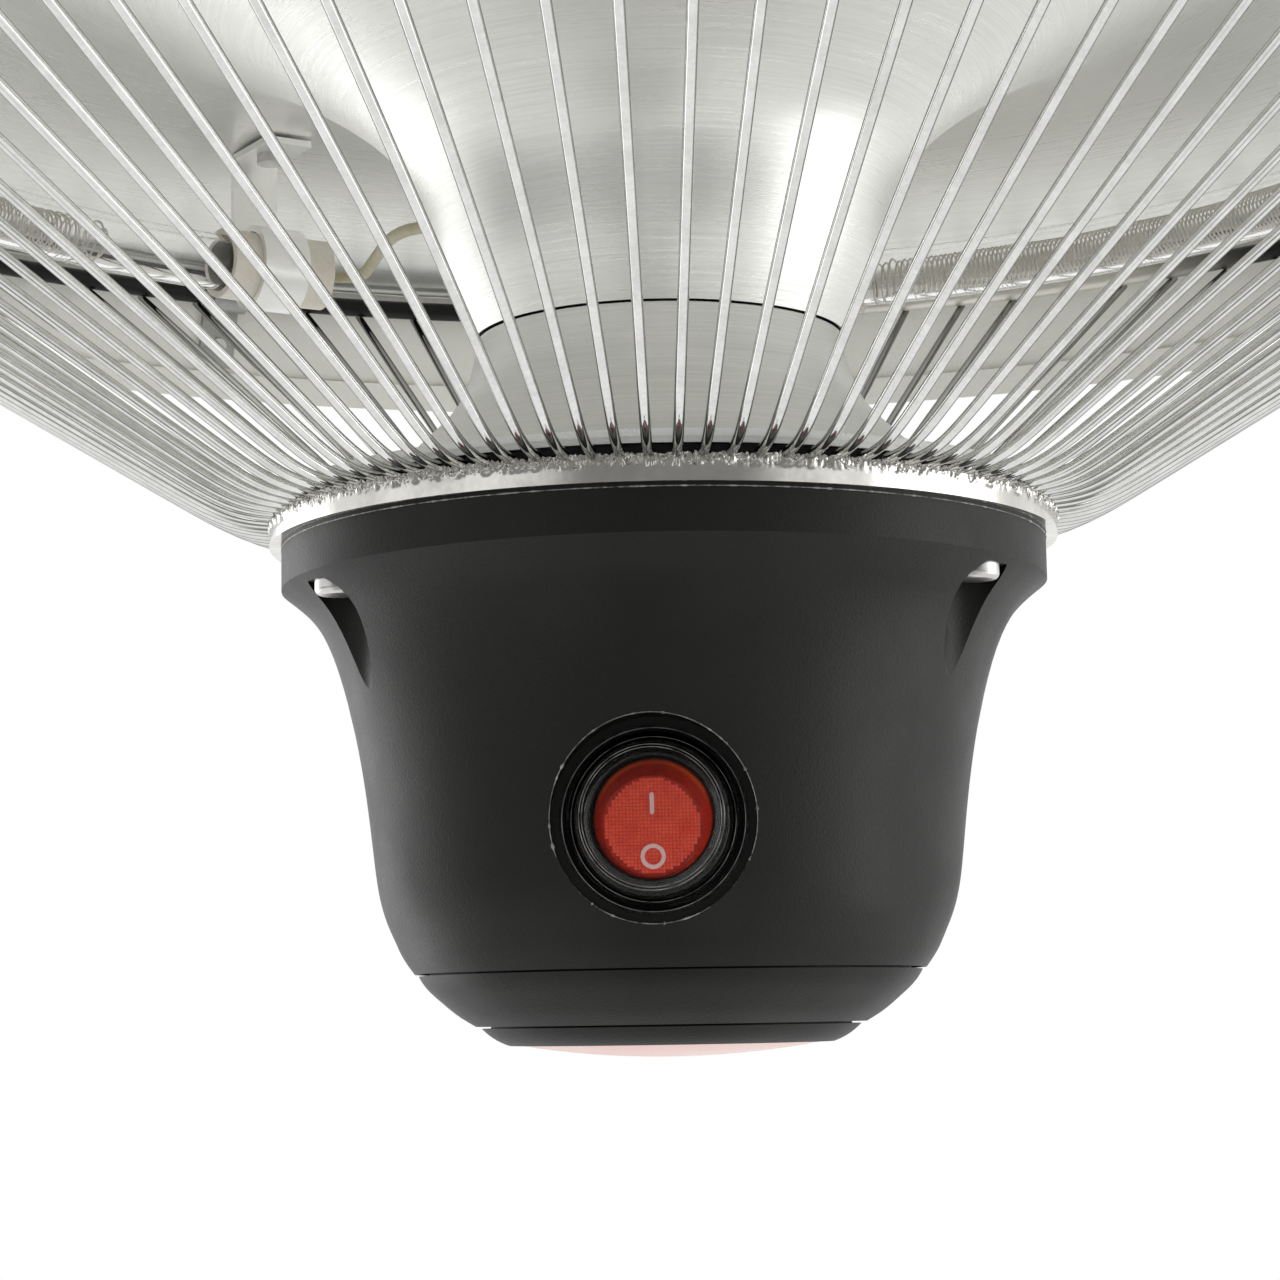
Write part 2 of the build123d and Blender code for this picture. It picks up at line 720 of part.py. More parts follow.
with BuildPart() as lead_grommets:
    for side in (-1, 1):
        with BuildSketch(funnel_hole(side)):
            Circle(grommet_radius)
            Circle(lead_radius + slip_gap, mode=Mode.SUBTRACT)
        extrude(amount=funnel_grommet_length / 2, both=True)
        with BuildSketch(trough_hole(side, reflector_apex)):
            Circle(grommet_radius)
            Circle(lead_radius + slip_gap, mode=Mode.SUBTRACT)
        extrude(amount=trough_grommet_length / 2, both=True)
        with BuildSketch(trough_hole(side, reflector_apex - grommet_lip_seat)):
            Circle(grommet_lip_radius)
            Circle(grommet_radius - touch_gap, mode=Mode.SUBTRACT)
        extrude(amount=-grommet_lip)
lead_grommets.part.label = "lead_grommets"
export_step(lead_grommets.part, "parts/lead_grommets.step")

# Supply wires: three side by side from the terminal block down to the board
wire_bend_radius = 7.0
wire_high = dome_top + block_wire_height
supply_sway = [(1.0, 84.0), (-1.0, 40.0), (0.5, -4.0)]

with BuildPart() as supply_wires:
    for pole in pole_ys:
        points = [(block_face, pole, up(wire_high)), (0, pole, up(wire_high))]
        points += [(sway, pole, up(height)) for sway, height in supply_sway]
        points += [(0, pole, up(lead_low))]
        radii = [wire_bend_radius, *bend_radii(points)[1:]]
        with BuildLine():
            wire_path = FilletPolyline(*points, radius=radii)
        with BuildSketch(Plane(origin=wire_path @ 0, z_dir=wire_path % 0)):
            Circle(wire_radius)
        sweep(path=wire_path)
        print("supply wire radii", [round(r) for r in radii])
supply_wires.part.label = "supply_wires"
export_step(supply_wires.part, "parts/supply_wires.step")

# Base plate: steel disc that the housing's screws and the guard's ring are drawn up against
ring_ledge_inner = 59.9
ring_band_inner = 62.4
ring_band_outer = 63.9
ring_height = 4.0
housing_screw_circle = 56.5
housing_screw_angles = [switch_side - 60, switch_side + 60, switch_side + 180]
housing_screw_radius = 2.0
lead_hole_radius = 2.6
base_plate_radius = ring_band_inner - slip_gap
plate_lead_spots = [far_point((*far_plate_pass, plate_low), side) for side in (-1, 1)]
plate_lead_spots += [near_point((*near_plate_pass, plate_low), side) for side in (-1, 1)]

with BuildPart() as base_plate:
    with BuildSketch(level(plate_low)):
        Circle(base_plate_radius)
        Circle(tube_hole_radius, mode=Mode.SUBTRACT)
        with Locations((0, supply_hole_y)):
            Circle(supply_hole_radius, mode=Mode.SUBTRACT)
        with Locations(*[(x, y) for x, y, z in plate_lead_spots]):
            Circle(lead_hole_radius, mode=Mode.SUBTRACT)
        for angle in housing_screw_angles:
            with PolarLocations(housing_screw_circle, 1, angle):
                Circle(housing_screw_radius + touch_gap, mode=Mode.SUBTRACT)
    extrude(amount=base_plate_thickness)
base_plate.part.label = "base_plate"
export_step(base_plate.part, "parts/base_plate.step")

# Insulating ring: the dark gap between the sleeve's edge and the base plate
insulator_height = 2.6
insulator_outer = 61.0
insulator_inner = 50.0
sleeve_foot = plate_top + insulator_height

with BuildPart() as insulating_ring:
    with BuildSketch(level(plate_top)):
        Circle(insulator_outer)
        Circle(insulator_inner, mode=Mode.SUBTRACT)
    extrude(amount=insulator_height)
insulating_ring.part.label = "insulating_ring"
export_step(insulating_ring.part, "parts/insulating_ring.step")

# Hub sleeve: spun aluminium skirt that flares from the funnel's mouth to the guard ring
sleeve_thickness = 1.0
sleeve_edge_radius = 62.5
sleeve_top = (30.1, funnel_mouth[1] - seam_gap - bead_radius / 2)

with BuildPart() as hub_sleeve:
    with BuildSketch(section):
        with BuildLine():
            sleeve_line = Spline(
                (sleeve_edge_radius, sleeve_foot + sleeve_thickness),
                (52.0, 8.8),
                (44.0, 12.6),
                (39.0, 17.1),
                (33.8, 22.7),
                (31.0, 29.3),
                sleeve_top,
                tangents=[(-1, 0), (0, 1)],
            )
            sleeve_inside = Spline(
                *beside(sleeve_line, sleeve_thickness), tangents=[sleeve_line % 0, sleeve_line % 1]
            )
            Line(sleeve_line @ 0, sleeve_inside @ 0)
            Line(sleeve_line @ 1, sleeve_inside @ 1)
        make_face()
    revolve(axis=Axis.Z)
hub_sleeve.part.label = "hub_sleeve"
export_step(hub_sleeve.part, "parts/hub_sleeve.step")

# Guard: wires welded at their feet to an angle ring and at their tops to a round ring
bar_radius = 0.8
bar_foot_height = 3.9
bar_bend = [(68.0, 4.0), (72.0, 5.2)]
bar_top = (rim_radius - 8.5, 84.9)
outer_wire_radius = 2.0
weld_gap = 0.03
bar_foot = (ring_band_outer + touch_gap, bar_foot_height)
bar_run = hypot(bar_top[0] - bar_bend[1][0], bar_top[1] - bar_bend[1][1])
bar_slope = (
    (bar_top[0] - bar_bend[1][0]) / bar_run,
    (bar_top[1] - bar_bend[1][1]) / bar_run,
)
outer_wire_lift = outer_wire_radius + bar_radius + weld_gap
outer_wire_along = bar_run - outer_wire_radius
outer_wire_centre = (
    bar_bend[1][0] + outer_wire_along * bar_slope[0] - outer_wire_lift * bar_slope[1],
    bar_bend[1][1] + outer_wire_along * bar_slope[1] + outer_wire_lift * bar_slope[0],
)

with BuildPart() as guard_inner_ring:
    with BuildSketch(section):
        with BuildLine():
            Polyline(
                (ring_ledge_inner, 0),
                (ring_band_outer, 0),
                (ring_band_outer, ring_height),
                (ring_band_inner, ring_height),
                (ring_band_inner, ledge_thickness),
                (ring_ledge_inner, ledge_thickness),
                close=True,
            )
        make_face()
    revolve(axis=Axis.Z)
guard_inner_ring.part.label = "guard_inner_ring"
export_step(guard_inner_ring.part, "parts/guard_inner_ring.step")

bar_plane = upright(switch_side + bar_phase)

with BuildPart() as guard_bar:
    with BuildLine(bar_plane):
        bar_path = Polyline(bar_foot, *bar_bend, bar_top)
    with BuildSketch(Plane(origin=bar_path @ 0, z_dir=bar_path % 0)):
        RegularPolygon(bar_radius, 6)
    sweep(transition=Transition.RIGHT)

with BuildPart() as guard_bars:
    with PolarLocations(0, bar_count):
        add(guard_bar.part)
guard_bars.part.label = "guard_bars"
export_step(guard_bars.part, "parts/guard_bars.step")

with BuildPart() as guard_outer_ring:
    with BuildSketch(section):
        with Locations(outer_wire_centre):
            Circle(outer_wire_radius)
    revolve(axis=Axis.Z)
guard_outer_ring.part.label = "guard_outer_ring"
export_step(guard_outer_ring.part, "parts/guard_outer_ring.step")

# Guard clips: sheet tabs on the inside of the skirt that hook round the outer ring
clip_width = 8.0
clip_thickness = 1.5
clip_low_along = 7.0
hook_inside = outer_wire_radius + touch_gap
wire_offset = (outer_wire_centre[0] - rim_radius, outer_wire_centre[1] - rim_low)
wire_along = wire_offset[0] * skirt_along[0] + wire_offset[1] * skirt_along[1]

with BuildPart() as guard_clips:
    for angle in clip_angles:
        with BuildSketch(upright(angle)):
            with Locations(outer_wire_centre):
                Circle(hook_inside + clip_thickness)
            with BuildLine():
                Polyline(
                    on_skirt(clip_low_along, shell_thickness + touch_gap),
                    on_skirt(wire_along, shell_thickness + touch_gap),
                    on_skirt(wire_along, shell_thickness + touch_gap + clip_thickness),
                    on_skirt(clip_low_along, shell_thickness + touch_gap + clip_thickness),
                    close=True,
                )
            make_face()
            with Locations(outer_wire_centre):
                Circle(hook_inside, mode=Mode.SUBTRACT)
        extrude(amount=clip_width / 2, both=True)
        with BuildSketch(skirt_seat(angle)):
            Circle(clip_screw_radius + touch_gap)
        extrude(amount=-shell_thickness - 3 * clip_thickness, mode=Mode.SUBTRACT)
guard_clips.part.label = "guard_clips"
export_step(guard_clips.part, "parts/guard_clips.step")

clip_head_radius = 3.2
clip_head_height = 1.6
clip_head_round = 0.7
clip_screw_tail = 1.0
clip_screw_length = shell_thickness + clip_thickness + clip_screw_tail

with BuildPart() as clip_screws:
    for angle in clip_angles:
        with BuildSketch(skirt_seat(angle).offset(touch_gap)):
            Circle(clip_head_radius)
        extrude(amount=clip_head_height)
        with BuildSketch(skirt_seat(angle).offset(touch_gap)):
            Circle(clip_screw_radius)
        extrude(amount=-clip_screw_length)
clip_screws.part.label = "clip_screws"
export_step(clip_screws.part, "parts/clip_screws.step")

# Housing body: moulded bell with a clamping flange, three screw pockets and a switch cup
flange_edge = 7.0
housing_wall = 2.5
seam_height = -68.6
seam_radius = 41.0
spigot_outer = ring_ledge_inner - slip_gap
spigot_wall = 2.5
pocket_radius = 5.0
pocket_wall = 2.5
pocket_roof = -8.0
pocket_low = -27.0
screw_hole_gap = 0.25
switch_height = -47.0
switch_floor = 43.0
cup_wall = 2.5
recess_radius = 15.3
switch_body_radius = 10.4
ring_spigot_outer = 38.6
cavity_mouth = spigot_outer - spigot_wall
flare_samples = 12

with BuildSketch() as bell_outline:
    with BuildLine():
        flare = Spline(
            (flange_radius, -flange_edge),
            (60.1, -8.5),
            (56.8, -11.7),
            (54.7, -15.2),
            (52.4, -21.5),
            (50.0, -31.4),
            (48.0, -44.5),
            (47.2, -51.5),
            (45.3, -60.4),
            (43.8, -63.9),
            (seam_radius, seam_height),
            tangents=[(-1.4, -1), (-0.75, -1)],
        )
        Polyline(flare @ 1, (0, seam_height), (0, 0), (flange_radius, 0), flare @ 0)
    make_face()

with BuildSketch() as cavity_outline:
    with BuildLine():
        # it starts a little way down, so that the corner under the flange keeps its wall
        lining = Spline(
            *beside(flare, -housing_wall, flare_samples)[1:],
            tangents=[flare % (1 / flare_samples), flare % 1],
        )
        Polyline(
            lining @ 1,
            (ring_spigot_outer + slip_gap, seam_height),
            (0, seam_height),
            (0, 2 * ledge_thickness),
            (cavity_mouth, 2 * ledge_thickness),
            (cavity_mouth, (lining @ 0).Y),
            lining @ 0,
        )
    make_face()

with BuildPart() as cavity_form:
    with BuildSketch(section):
        add(cavity_outline.sketch)
    revolve(axis=Axis.Z)
    for angle in housing_screw_angles:
        with BuildSketch(Plane(origin=polar(housing_screw_circle, angle, pocket_low))):
            Circle(pocket_radius + pocket_wall)
        extrude(amount=-pocket_low + 2 * ledge_thickness, mode=Mode.SUBTRACT)
    with BuildSketch(Plane.XZ.offset(switch_floor - cup_wall)):
        with Locations((0, up(switch_height))):
            Circle(recess_radius + cup_wall)
    extrude(amount=flange_radius - switch_floor, mode=Mode.SUBTRACT)

with BuildPart() as housing_body:
    with BuildSketch(section):
        add(bell_outline.sketch)
        Rectangle(spigot_outer, ledge_thickness, align=(Align.MIN, Align.MIN))
    revolve(axis=Axis.Z)
    add(cavity_form.part, mode=Mode.SUBTRACT)
    for angle in housing_screw_angles:
        with BuildSketch(Plane(origin=polar(housing_screw_circle, angle, pocket_low))):
            Circle(pocket_radius)
        extrude(amount=pocket_roof - pocket_low, mode=Mode.SUBTRACT)
        with BuildSketch(Plane(origin=polar(housing_screw_circle, angle, pocket_roof))):
            Circle(housing_screw_radius + screw_hole_gap)
        extrude(amount=ledge_thickness - pocket_roof, mode=Mode.SUBTRACT)
    with BuildSketch(Plane.XZ.offset(switch_floor)):
        with Locations((0, up(switch_height))):
            Circle(recess_radius)
    extrude(amount=flange_radius - switch_floor, mode=Mode.SUBTRACT)
    with BuildSketch(Plane.XZ.offset(switch_floor - cup_wall)):
        with Locations((0, up(switch_height))):
            Circle(switch_body_radius + touch_gap)
    extrude(amount=cup_wall, mode=Mode.SUBTRACT)
housing_body.part.label = "housing_body"
export_step(housing_body.part, "parts/housing_body.step")

screw_head_radius = 3.8
screw_head_height = 2.4
screw_head_round = 1.0

with BuildPart() as housing_screws:
    for angle in housing_screw_angles:
        head = Plane(origin=polar(housing_screw_circle, angle, pocket_roof))
        with BuildSketch(head):
            Circle(screw_head_radius)
        extrude(amount=-screw_head_height)
        with BuildSketch(head):
            Circle(housing_screw_radius)
        extrude(amount=plate_top - pocket_roof)
    head_rims = housing_screws.edges().filter_by(GeomType.CIRCLE).group_by(Axis.Z)[0]
    fillet(head_rims, radius=screw_head_round)
housing_screws.part.label = "housing_screws"
export_step(housing_screws.part, "parts/housing_screws.step")

# Lower ring: carries the board on three posts and plugs into the housing with a spigot
ring_wall = 2.2
ring_seam_step = 0.65
ring_spigot_height = 4.0
ring_low = -77.0
ring_low_radius = 31.3
board_thickness = 1.6
board_radius = 38.0
board_post_circle = 33.0
board_post_radius = 3.0
board_post_angles = [30.0, 150.0, 270.0]
board_screw_radius = 1.4
rib_thickness = 2.0
ring_high = seam_height - seam_gap
board_low = board_top - board_thickness

with BuildPart() as housing_lower_ring:
    with BuildSketch(section):
        with BuildLine():
            ring_line = Spline(
                (seam_radius - ring_seam_step, ring_high),
                (38.95, -71.0),
                (36.6, -73.2),
                (33.9, -75.4),
                (ring_low_radius, ring_low),
                tangents=[(-0.45, -1), (-1, -0.6)],
            )
            ring_inside = Spline(
                *beside(ring_line, -ring_wall), tangents=[ring_line % 0, ring_line % 1]
            )
            Line(ring_line @ 0, ring_inside @ 0)
            Line(ring_line @ 1, ring_inside @ 1)
        make_face()
        with Locations((ring_spigot_outer, ring_high - ring_wall)):
            Rectangle(ring_wall, ring_wall + ring_spigot_height, align=(Align.MAX, Align.MIN))
        with Locations((ring_spigot_outer, ring_high)):
            Rectangle(ring_wall, ring_wall, align=(Align.MAX, Align.MAX))
        with Locations((ring_low_radius, ring_low)):
            Rectangle(ring_wall, ring_wall, align=(Align.MAX, Align.MIN))
        with Locations((ring_spigot_outer, ring_high)):
            Rectangle(seam_radius, ring_wall, align=(Align.MIN, Align.MIN), mode=Mode.SUBTRACT)
    revolve(axis=Axis.Z)
    for angle in board_post_angles:
        with BuildSketch(Plane(origin=polar(board_post_circle, angle, ring_high - ring_wall))):
            Circle(board_post_radius)
        extrude(amount=board_low - ring_high + ring_wall)
        with BuildSketch(Plane(origin=(0, 0, up(ring_high - ring_wall)), x_dir=polar(1, angle, hang_drop))):
            with Locations((board_post_circle, 0)):
                Rectangle(
                    ring_spigot_outer - board_post_circle - ring_wall / 2,
                    rib_thickness,
                    align=(Align.MIN, Align.CENTER),
                )
        extrude(amount=ring_wall + ring_spigot_height)
        with BuildSketch(Plane(origin=polar(board_post_circle, angle, ring_high))):
            Circle(board_screw_radius + touch_gap)
        extrude(amount=board_low - ring_high, mode=Mode.SUBTRACT)
housing_lower_ring.part.label = "housing_lower_ring"
export_step(housing_lower_ring.part, "parts/housing_lower_ring.step")

# Lens bezel: end ring with a ledge that the lens drops onto from inside
bezel_low = -80.1
bezel_low_radius = 26.0
bezel_bulge = (28.5, -78.9)
bezel_step = 0.9
bezel_spigot_height = 4.0
lens_pocket_radius = 25.8
lens_window_radius = 24.4
lens_ledge = -79.2
bezel_high = ring_low - seam_gap
bezel_spigot_outer = ring_low_radius - ring_wall - slip_gap

with BuildPart() as lens_bezel:
    with BuildSketch(section):
        with BuildLine():
            Polyline((lens_window_radius, bezel_high), (ring_low_radius - bezel_step, bezel_high))
            ThreePointArc(
                (ring_low_radius - bezel_step, bezel_high), bezel_bulge, (bezel_low_radius, bezel_low)
            )
            Polyline(
                (bezel_low_radius, bezel_low),
                (lens_window_radius, bezel_low),
                (lens_window_radius, bezel_high),
            )
        make_face()
        with Locations((lens_window_radius, bezel_high)):
            Rectangle(
                bezel_spigot_outer - lens_window_radius,
                bezel_spigot_height,
                align=(Align.MIN, Align.MIN),
            )
        with Locations((0, lens_ledge)):
            Rectangle(
                lens_pocket_radius,
                bezel_spigot_height + bezel_high - lens_ledge,
                align=(Align.MIN, Align.MIN),
                mode=Mode.SUBTRACT,
            )
    revolve(axis=Axis.Z)
lens_bezel.part.label = "lens_bezel"
export_step(lens_bezel.part, "parts/lens_bezel.step")

# Lens: translucent window, shallowly domed, with a flange that rests on the bezel's ledge
lens_sag = 2.1
lens_thickness = 1.8
lens_flange = 1.2
lens_radius = lens_pocket_radius - slip_gap
lens_edge_radius = lens_window_radius - slip_gap
lens_ball = (lens_edge_radius**2 + lens_sag**2) / (2 * lens_sag)
lens_low = bezel_low - lens_sag
lens_centre = lens_low + lens_ball


def lens_curve(radius, ball):
    return (radius, lens_centre - (ball**2 - radius**2) ** 0.5)


with BuildPart() as lens:
    with BuildSketch(section):
        with BuildLine():
            ThreePointArc(
                lens_curve(0, lens_ball),
                lens_curve(lens_edge_radius / 2, lens_ball),
                lens_curve(lens_edge_radius, lens_ball),
            )
            Polyline(
                (lens_edge_radius, bezel_low),
                (lens_edge_radius, lens_ledge),
                (lens_radius, lens_ledge),
                (lens_radius, lens_ledge + lens_flange),
                (lens_edge_radius - lens_thickness, lens_ledge + lens_flange),
                lens_curve(lens_edge_radius - lens_thickness, lens_ball - lens_thickness),
            )
            ThreePointArc(
                lens_curve(lens_edge_radius - lens_thickness, lens_ball - lens_thickness),
                lens_curve(lens_edge_radius / 2, lens_ball - lens_thickness),
                lens_curve(0, lens_ball - lens_thickness),
            )
            Line(lens_curve(0, lens_ball - lens_thickness), lens_curve(0, lens_ball))
        make_face()
    revolve(axis=Axis.Z)
lens.part.label = "lens"
export_step(lens.part, "parts/lens.step")

# Switch body: round snap-in body whose collar lies on the floor of the recess
collar_radius = 11.0
collar_thickness = 1.8
switch_body_depth = 19.0
rocker_well = 6.0
rocker_ball = 9.3
ball_gap = 0.3
pivot_depth = 2.0
pin_radius = 1.0
pin_gap = 0.05
pin_end_gap = 0.1
pin_reach = 10.0
well_radius = rocker_ball + ball_gap
switch_axis = Plane(origin=(0, -switch_floor, up(switch_height)), x_dir=(1, 0, 0), z_dir=(0, -1, 0))
pivot_y = pivot_depth - switch_floor

with BuildPart() as switch_frame:
    with BuildSketch(switch_axis):
        Circle(switch_body_radius)
    extrude(amount=-switch_body_depth)
    with BuildSketch(switch_axis):
        Circle(collar_radius)
    extrude(amount=collar_thickness)
    fillet(switch_frame.edges().sort_by(Axis.Y)[0], radius=collar_thickness / 3)
    with BuildSketch(switch_axis.offset(-rocker_well)):
        Circle(well_radius)
    extrude(amount=rocker_well + collar_thickness, mode=Mode.SUBTRACT)
    with BuildSketch(Plane.YZ.offset(-pin_reach - pin_end_gap)):
        with Locations((pivot_y, up(switch_height))):
            Circle(pin_radius + pin_gap)
    extrude(amount=2 * (pin_reach + pin_end_gap), mode=Mode.SUBTRACT)
switch_frame.part.label = "switch_frame"
export_step(switch_frame.part, "parts/switch_frame.step")

# Rocker: a ball on two pins, tapering to a round face that dips to the side pressed last
rocker_tilt = 10.0
rocker_base = -2.5
rocker_neck = 4.5
rocker_face = 6.7
rocker_face_radius = 7.35
neck_radius = (rocker_ball**2 - rocker_neck**2) ** 0.5
foot_radius = (rocker_ball**2 - rocker_base**2) ** 0.5
rocker_plane = Plane(origin=(0, pivot_y, up(switch_height)), x_dir=(1, 0, 0), z_dir=(0, -1, 0)).rotated(
    (rocker_tilt, 0, 0)
)
rocker_axis = Axis(rocker_plane.origin, rocker_plane.z_dir)
rocker_section = Plane(
    origin=rocker_plane.origin, x_dir=rocker_plane.x_dir, z_dir=-rocker_plane.y_dir
)

with BuildPart() as rocker:
    with BuildSketch(rocker_section):
        with BuildLine():
            Line((0, rocker_base), (foot_radius, rocker_base))
            ThreePointArc((foot_radius, rocker_base), (rocker_ball, 0), (neck_radius, rocker_neck))
            Polyline(
                (neck_radius, rocker_neck),
                (rocker_face_radius, rocker_face),
                (0, rocker_face),
                (0, rocker_base),
            )
        make_face()
    revolve(axis=rocker_axis)
    with BuildSketch(Plane.YZ.offset(-pin_reach)):
        with Locations((pivot_y, up(switch_height))):
            Circle(pin_radius)
    extrude(amount=2 * pin_reach)
rocker.part.label = "rocker"
export_step(rocker.part, "parts/rocker.step")

# Splash boot: clear soft cover whose flange lies round the collar on the recess floor
boot_flange_radius = 14.0
boot_flange_thickness = 1.0
boot_foot_radius = 12.45
boot_shoulder_radius = 10.75
boot_shoulder_height = 6.2
boot_crown_radius = 9.55
boot_height = 7.3
boot_wall = 0.8

with BuildPart() as switch_boot:
    with BuildSketch(Plane(origin=switch_axis.origin, x_dir=(1, 0, 0), z_dir=(0, 0, -1))):
        with BuildLine():
            boot_line = Polyline(
                (boot_foot_radius, 0),
                (boot_shoulder_radius, boot_shoulder_height),
                (boot_crown_radius, boot_height),
                (0, boot_height),
            )
            offset(boot_line, amount=boot_wall, side=Side.LEFT)
        make_face()
        with Locations((collar_radius + slip_gap, 0)):
            Rectangle(
                boot_flange_radius - collar_radius - slip_gap,
                boot_flange_thickness,
                align=(Align.MIN, Align.MIN),
            )
        Rectangle(boot_foot_radius, boot_wall, align=(Align.MIN, Align.MAX), mode=Mode.SUBTRACT)
    revolve(axis=Axis(switch_axis.origin, switch_axis.z_dir))
switch_boot.part.label = "switch_boot"
export_step(switch_boot.part, "parts/switch_boot.step")

# Switch terminals: three blades out of the back of the switch body
blade_width = 6.3
blade_thickness = 0.8
blade_length = 8.0
blade_pitch = 6.0
switch_back = switch_axis.offset(-switch_body_depth)

with BuildPart() as switch_terminals:
    with BuildSketch(switch_back):
        with GridLocations(0, blade_pitch, 1, 3):
            Rectangle(blade_width, blade_thickness)
    extrude(amount=-blade_length)
    blade_tips = switch_terminals.faces().group_by(Axis.Y)[-1].edges().filter_by(Axis.Z)
    chamfer(blade_tips, length=blade_thickness)
switch_terminals.part.label = "switch_terminals"
export_step(switch_terminals.part, "parts/switch_terminals.step")

# Control board on the lower ring's posts
board_screw_head_radius = 2.6
board_screw_head_height = 1.6
board_screw_length = 6.0

with BuildPart() as control_board:
    with BuildSketch(level(board_low)):
        Circle(board_radius)
        for angle in board_post_angles:
            with PolarLocations(board_post_circle, 1, angle):
                Circle(board_screw_radius + screw_gap, mode=Mode.SUBTRACT)
    extrude(amount=board_thickness)
control_board.part.label = "control_board"
export_step(control_board.part, "parts/control_board.step")

with BuildPart() as board_screws:
    for angle in board_post_angles:
        with BuildSketch(Plane(origin=polar(board_post_circle, angle, board_top))):
            Circle(board_screw_head_radius)
        extrude(amount=board_screw_head_height)
        with BuildSketch(Plane(origin=polar(board_post_circle, angle, board_top))):
            Circle(board_screw_radius)
        extrude(amount=-board_screw_length)
board_screws.part.label = "board_screws"
export_step(board_screws.part, "parts/board_screws.step")

# Relays and screw connectors on top of the board, the connectors right under their wires
relay_spots = [(-11.5, 1.0), (11.5, 1.0)]
relay_size = (14.0, 16.0, 15.0)
relay_edge_round = 1.0
connector_width = 7.0
connector_screw_radius = 1.2
lead_ends = [far_point(far_lead_end, side) for side in (-1, 1)]
lead_ends += [near_point(near_lead_end, side) for side in (-1, 1)]

with BuildPart() as relays:
    with BuildSketch(level(board_top)):
        with Locations(*relay_spots):
            Rectangle(relay_size[0], relay_size[1])
    extrude(amount=relay_size[2])
    fillet(relays.edges().filter_by(Axis.Z), radius=relay_edge_round)
relays.part.label = "relays"
export_step(relays.part, "parts/relays.step")

with BuildPart() as board_connectors:
    with BuildSketch(level(board_top)):
        with Locations(*[(x, y) for x, y, z in lead_ends]):
            Rectangle(connector_width, connector_width)
        with Locations((0, supply_hole_y)):
            Rectangle(connector_width, connector_width + 2 * wire_pitch)
    extrude(amount=connector_height)
board_connectors.part.label = "board_connectors"
export_step(board_connectors.part, "parts/board_connectors.step")

# Receiver and signal lamps under the board, looking down at the lens
receiver_size = (6.0, 5.0, 6.0)
receiver_spot = (9.0, 0.0)
receiver_eye_radius = 2.0
receiver_eye_round = 1.5
led_radius = 1.5
led_length = 9.0
led_round = 1.2
led_circle = 10.0
led_angles = [120.0, 180.0, 240.0]

with BuildPart() as ir_receiver:
    with BuildSketch(level(board_low)):
        with Locations(receiver_spot):
            Rectangle(receiver_size[0], receiver_size[1])
    extrude(amount=-receiver_size[2])
    with BuildSketch(level(board_low - receiver_size[2])):
        with Locations(receiver_spot):
            Circle(receiver_eye_radius)
    extrude(amount=-receiver_eye_radius)
    fillet(ir_receiver.edges().filter_by(GeomType.CIRCLE).sort_by(Axis.Z)[0], radius=receiver_eye_round)
ir_receiver.part.label = "ir_receiver"
export_step(ir_receiver.part, "parts/ir_receiver.step")

with BuildPart() as indicator_leds:
    with BuildSketch(level(board_low)):
        for angle in led_angles:
            with PolarLocations(led_circle, 1, angle):
                Circle(led_radius)
    extrude(amount=-led_length)
    fillet(indicator_leds.edges().group_by(Axis.Z)[0], radius=led_round)
indicator_leds.part.label = "indicator_leds"
export_step(indicator_leds.part, "parts/indicator_leds.step")
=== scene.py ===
import bpy
import numpy as np
from mathutils import Euler, Matrix


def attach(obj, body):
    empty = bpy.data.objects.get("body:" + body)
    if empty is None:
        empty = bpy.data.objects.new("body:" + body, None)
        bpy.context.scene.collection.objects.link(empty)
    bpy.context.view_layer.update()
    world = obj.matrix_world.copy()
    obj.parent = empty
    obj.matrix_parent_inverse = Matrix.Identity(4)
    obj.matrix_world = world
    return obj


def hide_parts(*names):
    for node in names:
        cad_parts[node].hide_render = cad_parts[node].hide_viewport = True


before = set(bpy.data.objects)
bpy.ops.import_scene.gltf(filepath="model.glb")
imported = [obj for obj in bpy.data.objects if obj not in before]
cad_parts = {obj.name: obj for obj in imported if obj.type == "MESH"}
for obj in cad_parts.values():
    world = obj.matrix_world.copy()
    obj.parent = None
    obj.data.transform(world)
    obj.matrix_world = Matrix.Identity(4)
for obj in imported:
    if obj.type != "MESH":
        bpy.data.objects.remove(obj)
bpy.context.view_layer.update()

# The studio: a camera a little below the heater, looking up at it, two soft boxes beside and behind
# it, one narrow lamp by the camera, and a pale floor far below. The white background is the colour
# that the world has for what the camera sees, and gloss sees it too, apart from a dim room in front.

# heights are counted from the top of the housing's flange, and the frame's origin is the hole in
# the bail, this far above it
flange_drop = 0.168

photo_distance = 0.4891
photo_side = np.radians(2.75)
photo_height = -0.0756 - flange_drop
focal_pixels = 3027
photo_pixels = 1280
sensor_width = 36.0
camera_turn = photo_side + np.radians(0.474)
camera_lift = np.radians(90 + 7.07)
camera_roll = np.radians(-0.94)
camera_data = bpy.data.cameras.new("photo_camera")
camera_data.sensor_width = sensor_width
camera_data.lens = sensor_width * focal_pixels / photo_pixels
camera_data.clip_start = 0.02
camera = bpy.data.objects.new("photo_camera", camera_data)
camera.location = (photo_distance * np.sin(photo_side), -photo_distance * np.cos(photo_side), photo_height)
camera.rotation_euler = (Matrix.Rotation(camera_turn, 3, "Z") @ Matrix.Rotation(camera_lift, 3, "X")
                         @ Matrix.Rotation(camera_roll, 3, "Z")).to_euler()
bpy.context.scene.collection.objects.link(camera)
bpy.context.scene.camera = camera
